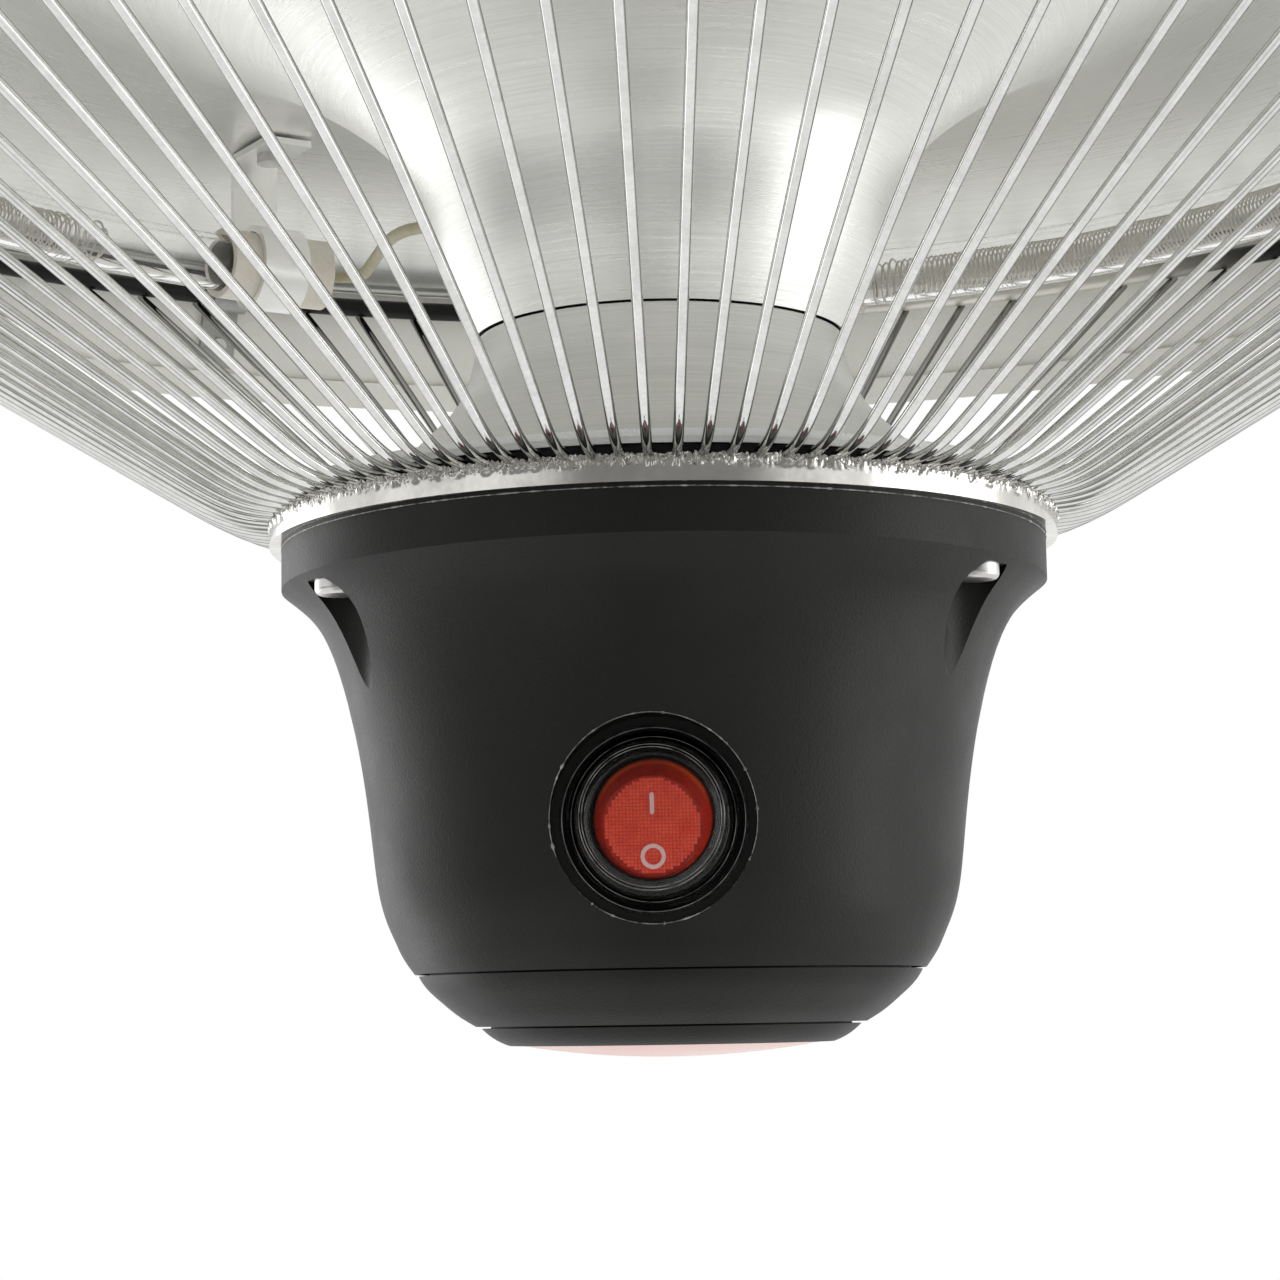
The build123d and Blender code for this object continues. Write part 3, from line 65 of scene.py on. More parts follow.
bpy.context.scene.view_settings.view_transform = "Standard"


def node(tree, kind, sources=None, **settings):
    """Adds a shader node. Each source is a socket to link or a plain value for that input."""
    made = tree.nodes.new("ShaderNode" + kind)
    for setting, value in settings.items():
        setattr(made, setting, value)
    for socket, source in (sources or {}).items():
        if isinstance(source, bpy.types.NodeSocket):
            tree.links.new(source, made.inputs[socket])
        else:
            made.inputs[socket].default_value = source
    return made


def calculate(tree, operation, first, second=0.0):
    """The result of one step of arithmetic on two numbers."""
    return node(tree, "Math", {0: first, 1: second}, operation=operation).outputs[0]


def eased_step(tree, value, start, end, low=0.0, high=1.0):
    """A number that eases from low to high while the value goes from start to end."""
    limits = {"Value": value, "From Min": start, "From Max": end, "To Min": low, "To Max": high}
    return node(tree, "MapRange", limits, interpolation_type="SMOOTHSTEP").outputs[0]


def blended(tree, share, first, second):
    """A colour between two colours: (1 - share) first + share second."""
    return node(tree, "Mix", {0: share, 6: first, 7: second}, data_type="RGBA").outputs[2]


pure_white = (1, 1, 1, 1)
world = bpy.data.worlds.new("studio")
bpy.context.scene.world = world
world.use_nodes = True
sky = world.node_tree
sky.nodes.clear()
light_path = node(sky, "LightPath")
soft_light = node(sky, "Background", {"Color": (0.97, 0.98, 1.0, 1), "Strength": 0.84})
white = node(sky, "Background", {"Color": pure_white, "Strength": 1.0})
# the dim room lies on the camera's side and a little to the left, above the floor, and one narrow
# strip of it stands from floor to ceiling behind the camera
room_side = (-0.29, -0.957, 0.0)
camera_side = (0.05, -0.9987, 0.0)
room_grey = (0.26, 0.26, 0.26, 1)
direction = node(sky, "TexCoord").outputs["Generated"]
height = node(sky, "SeparateXYZ", {0: direction}).outputs[2]
ahead = node(sky, "VectorMath", {0: direction, 1: room_side}, operation="DOT_PRODUCT").outputs["Value"]
wide_room = calculate(sky, "MULTIPLY", eased_step(sky, ahead, 0.08, 0.48),
                      eased_step(sky, height, -0.42, -0.12))
wide_room = node(sky, "Mix", {0: eased_step(sky, height, 0.02, 0.12), 2: wide_room, 3: 0.0}).outputs[0]
level = node(sky, "VectorMath", {0: direction, 1: (1.0, 1.0, 0.0)}, operation="MULTIPLY").outputs["Vector"]
level = node(sky, "VectorMath", {0: level}, operation="NORMALIZE").outputs["Vector"]
behind = node(sky, "VectorMath", {0: level, 1: camera_side}, operation="DOT_PRODUCT").outputs["Value"]
dim = calculate(sky, "MAXIMUM", wide_room, eased_step(sky, behind, 0.78, 0.94))
room = node(sky, "Background", {"Color": blended(sky, dim, pure_white, room_grey), "Strength": 1.0})
plain = calculate(sky, "MAXIMUM", light_path.outputs["Is Camera Ray"],
                  light_path.outputs["Is Transmission Ray"])
surroundings = node(sky, "MixShader", {0: plain, 1: soft_light.outputs[0], 2: white.outputs[0]})
surroundings = node(sky, "MixShader", {0: light_path.outputs["Is Glossy Ray"], 1: surroundings.outputs[0],
                                       2: room.outputs[0]})
node(sky, "OutputWorld", {"Surface": surroundings.outputs[0]})


def lamp(name, place, aim, size, watts):
    """An area lamp of a width and height, turned so that it faces its aim."""
    data = bpy.data.lights.new(name, "AREA")
    data.shape = "RECTANGLE"
    data.size = size[0]
    data.size_y = size[1]
    data.energy = watts
    made = bpy.data.objects.new(name, data)
    towards = np.array(aim, float) - np.array(place, float)
    made.location = place
    made.rotation_euler = Euler((np.arccos(-towards[2] / np.linalg.norm(towards)), 0,
                                 np.arctan2(-towards[0], towards[1])), "XYZ")
    bpy.context.scene.collection.objects.link(made)


heater_middle = (0, 0, -0.15)
lamp("side_box_left", place=(-1.48, 1.03, -0.1), aim=heater_middle, size=(1.3, 2.2), watts=11.5)
lamp("side_box_right", place=(1.75, -0.1, -0.05), aim=heater_middle, size=(1.5, 2.2), watts=15)
lamp("front_box", place=(0.17, -2.2, -0.9), aim=heater_middle, size=(0.16, 1.3), watts=0.9)


def new_material(name):
    """A material made of nodes, with its tree and its main shader."""
    made = bpy.data.materials.new(name)
    made.use_nodes = True
    return made, made.node_tree, made.node_tree.nodes["Principled BSDF"]


def object_place(tree):
    """The place of the shaded point in Object coordinates, as one socket."""
    return node(tree, "TexCoord").outputs["Object"]


def coordinates(tree):
    """The three Object coordinates of the shaded point, each in a socket of its own."""
    return list(node(tree, "SeparateXYZ", {0: object_place(tree)}).outputs)


def distance_from_axis(tree, first, second):
    """The distance of a point from an axis, from its two coordinates square to that axis."""
    flat = node(tree, "CombineXYZ", {0: first, 1: second}).outputs[0]
    return node(tree, "VectorMath", {0: flat}, operation="LENGTH").outputs["Value"]


floor_material, tree, shader = new_material("studio_floor")
shader.inputs["Roughness"].default_value = 0.7
mottle = node(tree, "TexNoise", {"Vector": object_place(tree), "Scale": 3.0, "Detail": 3.0})
floor_colour = blended(tree, mottle.outputs[0], (0.80, 0.80, 0.79, 1), (0.86, 0.86, 0.85, 1))
tree.links.new(floor_colour, shader.inputs["Base Color"])
# gloss sees the floor as white, with a dim strip that runs from the heater to the camera
strip_left = 0.10
floor_x, floor_y = coordinates(tree)[:2]
aside = calculate(tree, "ABSOLUTE", calculate(tree, "ADD", floor_x, strip_left))
strip = calculate(tree, "MULTIPLY", eased_step(tree, aside, 0.18, 0.75, low=1.0, high=0.0),
                  eased_step(tree, floor_y, -0.25, -0.9))
mirrored_colour = blended(tree, strip, (0.92, 0.92, 0.92, 1), (0.24, 0.24, 0.23, 1))
mirrored_floor = node(tree, "Emission", {"Color": mirrored_colour, "Strength": 1.0})
light_path = node(tree, "LightPath")
floor_look = node(tree, "MixShader", {0: light_path.outputs["Is Glossy Ray"], 1: shader.outputs[0],
                                      2: mirrored_floor.outputs[0]})
# the camera sees the floor fade to the white background a little way out
fade = calculate(tree, "MULTIPLY", eased_step(tree, distance_from_axis(tree, floor_x, floor_y), 0.5, 2.0),
                 light_path.outputs["Is Camera Ray"])
backdrop = node(tree, "Emission", {"Color": pure_white, "Strength": 1.0})
floor_look = node(tree, "MixShader", {0: fade, 1: floor_look.outputs[0], 2: backdrop.outputs[0]})
tree.links.new(floor_look.outputs[0], tree.nodes["Material Output"].inputs["Surface"])

floor_reach = 3.0
floor_height = -1.6
floor_lines = 7
across = np.linspace(-floor_reach, floor_reach, floor_lines)
floor_points = np.stack(np.meshgrid(across, across, [floor_height], indexing="ij"), -1).reshape(-1, 3)
cell = np.arange(floor_lines - 1)
corner = (cell[:, None] * floor_lines + cell[None, :]).reshape(-1)
floor_faces = np.stack([corner, corner + floor_lines, corner + floor_lines + 1, corner + 1], 1)
floor_mesh = bpy.data.meshes.new("studio_floor")
floor_mesh.from_pydata(floor_points.tolist(), [], floor_faces.tolist())
floor_mesh.materials.append(floor_material)
floor = bpy.data.objects.new("studio_floor", floor_mesh)
bpy.context.scene.collection.objects.link(floor)

# The hanger: a zinc plated steel bail bent from strip, the saddle bracket that it swings on,
# and the shoulder screws and nuts at its two pivots. The heater hangs by the hole in the bail.


def shader_group(name, inputs, outputs):
    """An empty node group with typed inputs (kind, label, value) and outputs (kind, label)."""
    made = bpy.data.node_groups.new(name, "ShaderNodeTree")
    for kind, label, value in inputs:
        socket = made.interface.new_socket(label, in_out="INPUT", socket_type="NodeSocket" + kind)
        socket.default_value = value
    for kind, label in outputs:
        made.interface.new_socket(label, in_out="OUTPUT", socket_type="NodeSocket" + kind)
    return made, made.nodes.new("NodeGroupInput").outputs, made.nodes.new("NodeGroupOutput").inputs


def give_out(group, given, put, share, height):
    """Ends a group: its colour and roughness go from Light and Smooth to Dark and Rough with the
    share, and its height is passed on."""
    group.links.new(blended(group, share, given["Light"], given["Dark"]), put["Color"])
    roughness = node(group, "Mix", {0: share, 2: given["Smooth"], 3: given["Rough"]})
    group.links.new(roughness.outputs[0], put["Roughness"])
    group.links.new(height, put["Height"])


# blotches: slow and fine changes of colour and roughness over a surface, and the grain's height
blotches, given, put = shader_group(
    "blotches",
    [("Color", "Light", (0.8, 0.8, 0.8, 1)), ("Color", "Dark", (0.7, 0.7, 0.7, 1)), ("Float", "Smooth", 0.3),
     ("Float", "Rough", 0.4), ("Float", "Patch Scale", 40.0), ("Float", "Grain Scale", 1500.0)],
    [("Color", "Color"), ("Float", "Roughness"), ("Float", "Height")],
)
place = object_place(blotches)
patch = node(blotches, "TexNoise", {"Vector": place, "Scale": given["Patch Scale"], "Detail": 3.0})
grain = node(blotches, "TexNoise", {"Vector": place, "Scale": given["Grain Scale"], "Detail": 2.0})
grain_share = 0.35
mixed = node(blotches, "Mix", {0: grain_share, 2: patch.outputs[0], 3: grain.outputs[0]})
mixed = node(blotches, "MapRange", {"Value": mixed.outputs[0], "From Min": 0.35, "From Max": 0.65})
give_out(blotches, given, put, mixed.outputs[0], grain.outputs[0])


def lay_on(tree, shader, group, values, depth):
    """Feeds a shader's colour, roughness and normal from a node group that has these values. The
    group's height becomes a bump of that depth in metres."""
    look = node(tree, "Group", values, node_tree=group)
    tree.links.new(look.outputs["Color"], shader.inputs["Base Color"])
    tree.links.new(look.outputs["Roughness"], shader.inputs["Roughness"])
    bump = node(tree, "Bump", {"Height": look.outputs["Height"], "Distance": depth, "Strength": 1.0})
    tree.links.new(bump.outputs[0], shader.inputs["Normal"])


def finish(name, light, dark, smooth, rough, patch_scale=40.0, grain_scale=1500.0, depth=0.00001,
           **constants):
    """A material whose colour and roughness wander between two values, with a grain of that depth
    in metres. Other constants go to the shader's own sockets."""
    made, tree, shader = new_material(name)
    for label, value in constants.items():
        shader.inputs[label.replace("_", " ")].default_value = value
    values = {"Light": (*light, 1), "Dark": (*dark, 1), "Smooth": smooth, "Rough": rough,
              "Patch Scale": patch_scale, "Grain Scale": grain_scale}
    lay_on(tree, shader, blotches, values, depth)
    return made


def dress(material, *names):
    """The named CAD nodes stay as they are and take this material."""
    for name in names:
        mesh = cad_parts[name].data
        mesh.materials.clear()
        mesh.materials.append(material)


zinc = finish("zinc_plate", light=(0.74, 0.73, 0.71), dark=(0.59, 0.58, 0.56), smooth=0.28, rough=0.42,
              patch_scale=90.0, Metallic=1.0)
dress(zinc, "hanging_bail", "saddle_bracket", "pivot_screws", "pivot_nuts")

# The terminal cap: a black plastic moulding screwed to two posts over the dome's top, with the white
# terminal block inside, and a glossy black gland in its side that clamps the supply cord.
black_moulding = finish("black_moulding", light=(0.0110, 0.0105, 0.0092), dark=(0.0080, 0.0077, 0.0068),
                        smooth=0.40, rough=0.50, patch_scale=60.0, grain_scale=2300.0, depth=0.000050,
                        Specular_IOR_Level=0.24)
dress(black_moulding, "top_cap")
black_gloss = finish("black_gloss", light=(0.012, 0.012, 0.012), dark=(0.008, 0.008, 0.008), smooth=0.16,
                     rough=0.26, patch_scale=90.0)
dress(black_gloss, "cable_gland", "gland_nut")
terminal_white = finish("terminal_white", light=(0.82, 0.81, 0.77), dark=(0.76, 0.75, 0.70), smooth=0.40,
                        rough=0.52, patch_scale=150.0)
dress(terminal_white, "terminal_block")
dress(zinc, "cap_screws", "cap_posts", "gland_locknut")

# The dome: a disc of sheet spun to a shallow bowl with a steep rim, its mouth hemmed inward, and
# stove enamelled in warm white inside and out. A zinc plated threaded tube with four nuts clamps its
# flat crown under the saddle bracket.
enamel = finish("shell_enamel", light=(0.86, 0.85, 0.79), dark=(0.82, 0.81, 0.74), smooth=0.25, rough=0.34,
                patch_scale=12.0, grain_scale=900.0, depth=0.000008)
dress(enamel, "dome_shell")
dress(zinc, "centre_tube", "tube_nuts")

# The reflector: a polished aluminium spinning with a funnel in its middle and a deep trough over
# the heating tubes, its mouth rolled to a bead. Turning marks run round it, and it is screwed to
# zinc plated posts under the dome.


def smooth_profile(knots, steps=24):
    """Points of the natural cubic through the knots over chord length: in each span
    p = a + b t + c t^2 + d t^3, where the second derivatives solve the usual tridiagonal rows."""
    knots = np.array(knots, float)
    chord = np.concatenate([[0], np.cumsum(np.linalg.norm(np.diff(knots, axis=0), axis=1))])
    gap = np.diff(chord)
    count = len(knots)
    inner = np.arange(1, count - 1)
    rows = np.eye(count)
    rows[inner, inner - 1] = gap[:-1]
    rows[inner, inner] = 2 * (gap[:-1] + gap[1:])
    rows[inner, inner + 1] = gap[1:]
    slope = np.diff(knots, axis=0) / gap[:, None]
    right = np.zeros((count, 2))
    right[1:-1] = 6 * np.diff(slope, axis=0)
    bend = np.linalg.solve(rows, right)
    at = np.linspace(0, chord[-1], steps * (count - 1) + 1)
    span = np.clip(np.searchsorted(chord, at, side="right") - 1, 0, count - 2)
    t = (at - chord[span])[:, None]
    width = gap[span][:, None]
    b = slope[span] - width * (2 * bend[span] + bend[span + 1]) / 6
    c = bend[span] / 2
    d = (bend[span + 1] - bend[span]) / (6 * width)
    return knots[span] + b * t + c * t**2 + d * t**3


def left_of(line, distance):
    """The line moved sideways by a distance to its left, along its own normals."""
    course = np.gradient(line, axis=0)
    course /= np.linalg.norm(course, axis=1)[:, None]
    return line + distance * np.stack([-course[:, 1], course[:, 0]], 1)


# edges that turn by more than this stay crisp
crisp_angle = np.radians(50)


def surface(name, points):
    """A closed mesh from a grid of points that joins up both ways. Its faces look out where the rows
    run counter-clockwise round the axis, and so do the columns in (radius, height). Its UV map is in
    metres: along the rows, then along the columns."""
    rows, columns = points.shape[:2]
    row = np.arange(rows)[:, None]
    column = np.arange(columns)[None, :]
    next_row = (row + 1) % rows
    next_column = (column + 1) % columns
    corners = np.stack([row * columns + column, next_row * columns + column,
                        next_row * columns + next_column, row * columns + next_column], -1).reshape(-1, 4)
    along = np.linalg.norm(np.diff(points, axis=0, append=points[:1]), axis=2).mean(1)
    over = np.linalg.norm(np.diff(points, axis=1, append=points[:, :1]), axis=2).mean(0)
    u = np.concatenate([[0], np.cumsum(along)])
    v = np.concatenate([[0], np.cumsum(over)])
    spots = np.stack([np.stack(np.broadcast_arrays(u[row + a], v[column + b]), -1)
                      for a, b in ((0, 0), (1, 0), (1, 1), (0, 1))], -2).reshape(-1, 4, 2)
    mesh = bpy.data.meshes.new(name)
    mesh.from_pydata(points.reshape(-1, 3).tolist(), [], corners.tolist())
    mesh.uv_layers.new(name="UVMap").data.foreach_set("uv", spots.astype(np.float32).ravel())
    mesh.shade_smooth()
    mesh.set_sharp_from_angle(angle=crisp_angle)
    return mesh


def turned(loop, columns):
    """Points of a body turned about the axis from a closed loop of (radius, height), in metres:
    (r cos a, r sin a, h - flange_drop), with a running once round."""
    a = np.linspace(0, 2 * np.pi, columns, endpoint=False)
    r = loop[:, 0]
    heights = np.outer(np.ones(columns), loop[:, 1] - flange_drop)
    return np.stack([np.outer(np.cos(a), r), np.outer(np.sin(a), r), heights], -1)


def piece(name, mesh, material, body, slot, *replaced):
    """Puts a finished mesh into the scene: its material, the body that it rides on and the CAD nodes
    that it stands for, which it hides. The slot is not used."""
    mesh.materials.append(material)
    made = bpy.data.objects.new(name, mesh)
    bpy.context.scene.collection.objects.link(made)
    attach(made, body)
    if replaced:
        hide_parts(*replaced)


# turning_marks: fine lines round a spun or brushed sheet, from the piece's own map
turning_marks, given, put = shader_group(
    "turning_marks",
    [("Color", "Light", (0.9, 0.9, 0.9, 1)), ("Color", "Dark", (0.8, 0.8, 0.8, 1)), ("Float", "Smooth", 0.2),
     ("Float", "Rough", 0.3), ("Float", "Lines", 3000.0)],
    [("Color", "Color"), ("Float", "Roughness"), ("Float", "Height")],
)
lines_along = 12.0
where = node(turning_marks, "TexCoord")
on_sheet = node(turning_marks, "SeparateXYZ", {0: where.outputs["UV"]})
slow = calculate(turning_marks, "MULTIPLY", on_sheet.outputs[0], lines_along)
fast = calculate(turning_marks, "MULTIPLY", on_sheet.outputs[1], given["Lines"])
lines = node(turning_marks, "CombineXYZ", {0: slow, 1: fast})
fine = node(turning_marks, "TexNoise", {"Vector": lines.outputs[0], "Scale": 1.0, "Detail": 4.0,
                                        "Roughness": 0.7})
clouds = node(turning_marks, "TexNoise", {"Vector": where.outputs["Object"], "Scale": 45.0, "Detail": 3.0})
cloud_share = 0.25
mixed = node(turning_marks, "Mix", {0: cloud_share, 2: fine.outputs[0], 3: clouds.outputs[0]})
mixed = node(turning_marks, "MapRange", {"Value": mixed.outputs[0], "From Min": 0.33, "From Max": 0.67})
give_out(turning_marks, given, put, mixed.outputs[0], fine.outputs[0])


def spun_metal(name, light, dark, lines, smooth, rough, depth, stretch, metal):
    """Aluminium with turning marks, whose highlights are drawn out across the marks."""
    made, tree, shader = new_material(name)
    shader.inputs["Metallic"].default_value = metal
    shader.inputs["Anisotropic"].default_value = stretch
    values = {"Light": (*light, 1), "Dark": (*dark, 1), "Smooth": smooth, "Rough": rough, "Lines": lines}
    lay_on(tree, shader, turning_marks, values, depth)
    course = node(tree, "Tangent", direction_type="UV_MAP", uv_map="UVMap")
    tree.links.new(course.outputs[0], shader.inputs["Tangent"])
    return made


# the polished face from the funnel's mouth out to the rim, as (radius, height) in millimetres
reflector_knots = np.array([(30.6, 34.5), (35.6, 46), (40.9, 61.7), (57.6, 77.9), (95, 96.5), (149, 106),
                            (180, 101), (203.4, 90.9)])
reflector_thickness = 0.0008
bead_radius = 0.0009
bead_half_arc = 0.75 * np.pi
bead_steps = 15


def beaded(face, back):
    """A sheet's closed section with a rolled bead at the end of its face: the bead is an arc about
    the last point, from the face round to the back."""
    out = face[-1] - face[-2]
    a = np.arctan2(out[1], out[0]) + np.linspace(-bead_half_arc, bead_half_arc, bead_steps)
    bead = face[-1] + bead_radius * np.stack([np.cos(a), np.sin(a)], 1)
    return np.concatenate([face[:-1], bead, back[-2::-1]])


reflector_face = smooth_profile(reflector_knots / 1000)
reflector_loop = beaded(reflector_face, left_of(reflector_face, reflector_thickness))
polished = spun_metal("polished_aluminium", light=(0.98, 0.98, 0.94), dark=(0.80, 0.80, 0.765), lines=2600.0,
                      smooth=0.24, rough=0.38, depth=0.000008, stretch=0.5, metal=0.68)
reflector_mesh = surface("spun_reflector", turned(reflector_loop, columns=256))
piece("spun_reflector", reflector_mesh, polished, "heater", "polished_aluminium", "reflector")
dress(zinc, "reflector_posts")

# The lamps: two half rings of clear quartz tube, each with a wound heating coil, ceramic ends,
# sleeved leads, and steel straps that hold them under the reflector.
quartz, tree, shader = new_material("quartz")
shader.inputs["Transmission Weight"].default_value = 1.0
shader.inputs["IOR"].default_value = 1.3
shader.inputs["Roughness"].default_value = 0.02
haze = node(tree, "TexNoise", {"Vector": object_place(tree), "Scale": 60.0, "Detail": 2.0})
clear_tint = blended(tree, haze.outputs[0], (0.97, 0.97, 0.96, 1), pure_white)
tree.links.new(clear_tint, shader.inputs["Base Color"])
dress(quartz, "lamp_tubes")


def swept(centres, sides_x, sides_y, section):
    """Points of a section carried along centre lines: p = centre + x sides_x + y sides_y for each
    (x, y) of the section. Centres are (..., n, 3), so a whole family of lines is one array."""
    return (centres[..., :, None, :] + section[:, 0, None] * sides_x[..., :, None, :]
            + section[:, 1, None] * sides_y[..., :, None, :])


def ring_section(radius, sides):
    """A regular polygon of that many sides, as (x, y) rows."""
    a = np.linspace(0, 2 * np.pi, sides, endpoint=False)
    return radius * np.stack([np.cos(a), np.sin(a)], 1)


def strands(name, points):
    """One mesh from a family of open swept lines: points are (lines, stations, sides, 3). Each line
    is a tube of quads, closed by a polygon at each end."""
    lines, stations, sides = points.shape[:3]
    start = np.arange(lines)[:, None, None] * stations * sides
    station = np.arange(stations - 1)[None, :, None] * sides
    side = np.arange(sides)[None, None, :]
    here = start + station + side
    beside = start + station + (side + 1) % sides
    quads = np.stack([here, beside, beside + sides, here + sides], -1).reshape(-1, 4)
    first = start[:, 0] + np.arange(sides)[None, ::-1]
    last = start[:, 0] + (stations - 1) * sides + np.arange(sides)[None, :]
    mesh = bpy.data.meshes.new(name)
    mesh.from_pydata(points.reshape(-1, 3).tolist(), [], quads.tolist() + first.tolist() + last.tolist())
    mesh.shade_smooth()
    mesh.set_sharp_from_angle(angle=crisp_angle)
    return mesh


lamp_ring = 0.149
lamp_height = 0.0795 - flange_drop
lamp_starts = np.radians([121.0, 301.0])
# angles from each lamp's start: the ends of its wire, where its winding starts, and how far it goes
wire_from = np.radians(4.5)
wire_to = np.radians(139.5)
wound_from = np.radians([20.0, 15.5])
wound_arc = np.radians(119.0)
coil_radius = 0.0038
coil_wire = 0.00026
coil_sag = 0.0006
coil_turns = 300
turn_stations = 14
cold_stations = 6
# how far the turns shift where they are pulled apart, over which share of the winding at its start
# and its end, and how quickly the winding opens out from the straight wire
pull = 0.016
pulled_start = 0.03
pulled_end = 0.02
opening = 0.002
loose_share = 0.20
loose_waves = 136
wander_share = 0.03
wander_rate = 57
# each wire runs straight down its tube's cold end, is wound in the middle and ends straight again
wound = np.linspace(0, 1, coil_turns * turn_stations + 1)
cold = np.zeros(cold_stations)
share = np.linspace(0, 1, cold_stations, endpoint=False)[None, :]
cold_in = wire_from + share * (wound_from - wire_from)[:, None]
cold_out = wire_to - share[:, ::-1] * (wire_to - wound_from - wound_arc)[:, None]
along_lamp = np.concatenate([cold_in, wound_from[:, None] + wound_arc * wound, cold_out], 1)
# the turns are pulled apart towards both ends, loose there, and wander a little elsewhere
opened = wound + pull * (np.exp(-wound / pulled_start) - np.exp((wound - 1) / pulled_end))
from_end = np.minimum(wound, 1 - wound)
wander = wander_share * np.sin(wander_rate * wound)
loose = loose_share * np.exp(-from_end / pulled_start) * np.sin(2 * np.pi * loose_waves * wound)
turn_size = (1 - np.exp(-from_end / opening)) * (1 + wander + loose)
spread = coil_radius * np.concatenate([cold, turn_size, cold])[:, None]
wind = 2 * np.pi * coil_turns * np.concatenate([cold, opened - opened[0], cold + opened[-1] - opened[0]])
upward = np.array([0, 0, 1.0])
arc = lamp_starts[:, None] + along_lamp
lamp_out = np.stack([np.cos(arc), np.sin(arc), 0 * arc], -1)
coil_along = np.stack([-np.sin(arc), np.cos(arc), 0 * arc], -1)
coil_side = np.cos(wind)[:, None] * lamp_out + np.sin(wind)[:, None] * upward
coil_line = lamp_ring * lamp_out + spread * coil_side + (lamp_height - coil_sag) * upward
coil_points = swept(coil_line, coil_side, coil_along, ring_section(coil_wire, sides=4))
coil_metal = finish("heating_wire", light=(0.96, 0.93, 0.87), dark=(0.80, 0.77, 0.70), smooth=0.45,
                    rough=0.6, patch_scale=150.0, Metallic=0.1)
piece("wound_coils", strands("wound_coils", coil_points), coil_metal, "heater", "heating_wire", "lamp_coils")

ceramic = finish("ceramic", light=(0.84, 0.80, 0.71), dark=(0.74, 0.68, 0.58), smooth=0.5, rough=0.65,
                 patch_scale=120.0)
dress(ceramic, "lamp_caps", "lead_grommets")
sleeving = finish("lead_sleeving", light=(0.50, 0.47, 0.34), dark=(0.38, 0.35, 0.22), smooth=0.6, rough=0.75,
                  patch_scale=300.0, grain_scale=4000.0, depth=0.00004)
dress(sleeving, "lamp_leads")
strap_metal = finish("strap_metal", light=(0.93, 0.93, 0.90), dark=(0.88, 0.88, 0.85), smooth=0.30,
                     rough=0.40, patch_scale=60.0, Metallic=0.6)
dress(strap_metal, "lamp_brackets", "tube_clips")
dress(zinc, "bracket_screws")

# The hub: a brushed aluminium sleeve that carries on the reflector's funnel down to the guard,
# seated on a black insulating ring that shows as the dark gap behind the wires. The ring lies on a
# black steel base plate.

# the sleeve's face from its foot up to the funnel, as (radius, height) in millimetres
sleeve_knots = np.array([(62.5, 6.8), (52, 8.8), (44, 12.6), (39, 17.1), (33.8, 22.7), (31, 29.3),
                         (30.1, 34.2)])
sleeve_thickness = 0.001
sleeve_face = smooth_profile(sleeve_knots / 1000)
sleeve_loop = np.concatenate([sleeve_face, left_of(sleeve_face, sleeve_thickness)[::-1]])
brushed = spun_metal("brushed_aluminium", light=(1.0, 1.0, 0.97), dark=(0.76, 0.76, 0.73), lines=5200.0,
                     smooth=0.26, rough=0.42, depth=0.000004, stretch=0.6, metal=0.55)
sleeve_mesh = surface("brushed_sleeve", turned(sleeve_loop, columns=192))
piece("brushed_sleeve", sleeve_mesh, brushed, "heater", "brushed_aluminium", "hub_sleeve")
# the cut edge at the sleeve's foot is rolled to a fine hem, painted near white with little metal: a painted
# highlight along the edge
hem_loop = np.array([(62.3, 6.75), (62.6, 6.75), (62.7, 7.3), (62.6, 7.85), (62.3, 7.85)]) / 1000
hem_highlight_paint = finish("painted_highlight_hem", light=(0.97, 0.97, 0.94), dark=(0.90, 0.90, 0.87), smooth=0.25, rough=0.40,
                   patch_scale=90.0, Metallic=0.2)
hem_mesh = surface("sleeve_hem", turned(hem_loop, columns=256))
piece("sleeve_hem", hem_mesh, hem_highlight_paint, "heater", "brushed_aluminium")
insulation = finish("insulation", light=(0.016, 0.016, 0.016), dark=(0.010, 0.010, 0.010), smooth=0.7,
                    rough=0.85)
dress(insulation, "insulating_ring")
black_steel = finish("black_steel", light=(0.030, 0.030, 0.031), dark=(0.018, 0.018, 0.019), smooth=0.35,
                     rough=0.5, patch_scale=80.0, Metallic=0.6)
dress(black_steel, "base_plate")

# The wire guard: a hundred chrome plated wires, straight from the outer ring down to a bend,
# then welded side by side to a flat ring that the housing's screws clamp. Four sheet steel clips,
# screwed through the dome's rim, hold its outer ring.


def tinted(material, share, colour):
    """Takes a finish's own colour towards another colour with a share from 0 to 1."""
    tree = material.node_tree
    base_colour = tree.nodes["Principled BSDF"].inputs["Base Color"]
    tree.links.new(blended(tree, share, base_colour.links[0].from_socket, (*colour, 1)), base_colour)


chrome = finish("guard_chrome", light=(0.84, 0.84, 0.82), dark=(0.70, 0.70, 0.68), smooth=0.02, rough=0.07,
                patch_scale=240.0, grain_scale=1400.0, depth=0.000003, Metallic=1.0)
# painted reflection: the sides of each wire are painted dark as they turn from the view, for the wires
# beside it that the plating mirrors there
facing = node(chrome.node_tree, "LayerWeight", {"Blend": 0.5}).outputs["Facing"]
tinted(chrome, eased_step(chrome.node_tree, facing, 0.42, 0.72), (0.10, 0.10, 0.09))

wire_count = 100
wire_radius = 0.0008
wire_phase = np.radians(-89.0)
wire_wander = np.radians(0.12)
wire_low = 0.0040
wire_slope = 0.6015
bend_at = 0.0700
bend_size = 0.0027
wire_foot = 0.0636
wire_end = 0.2045
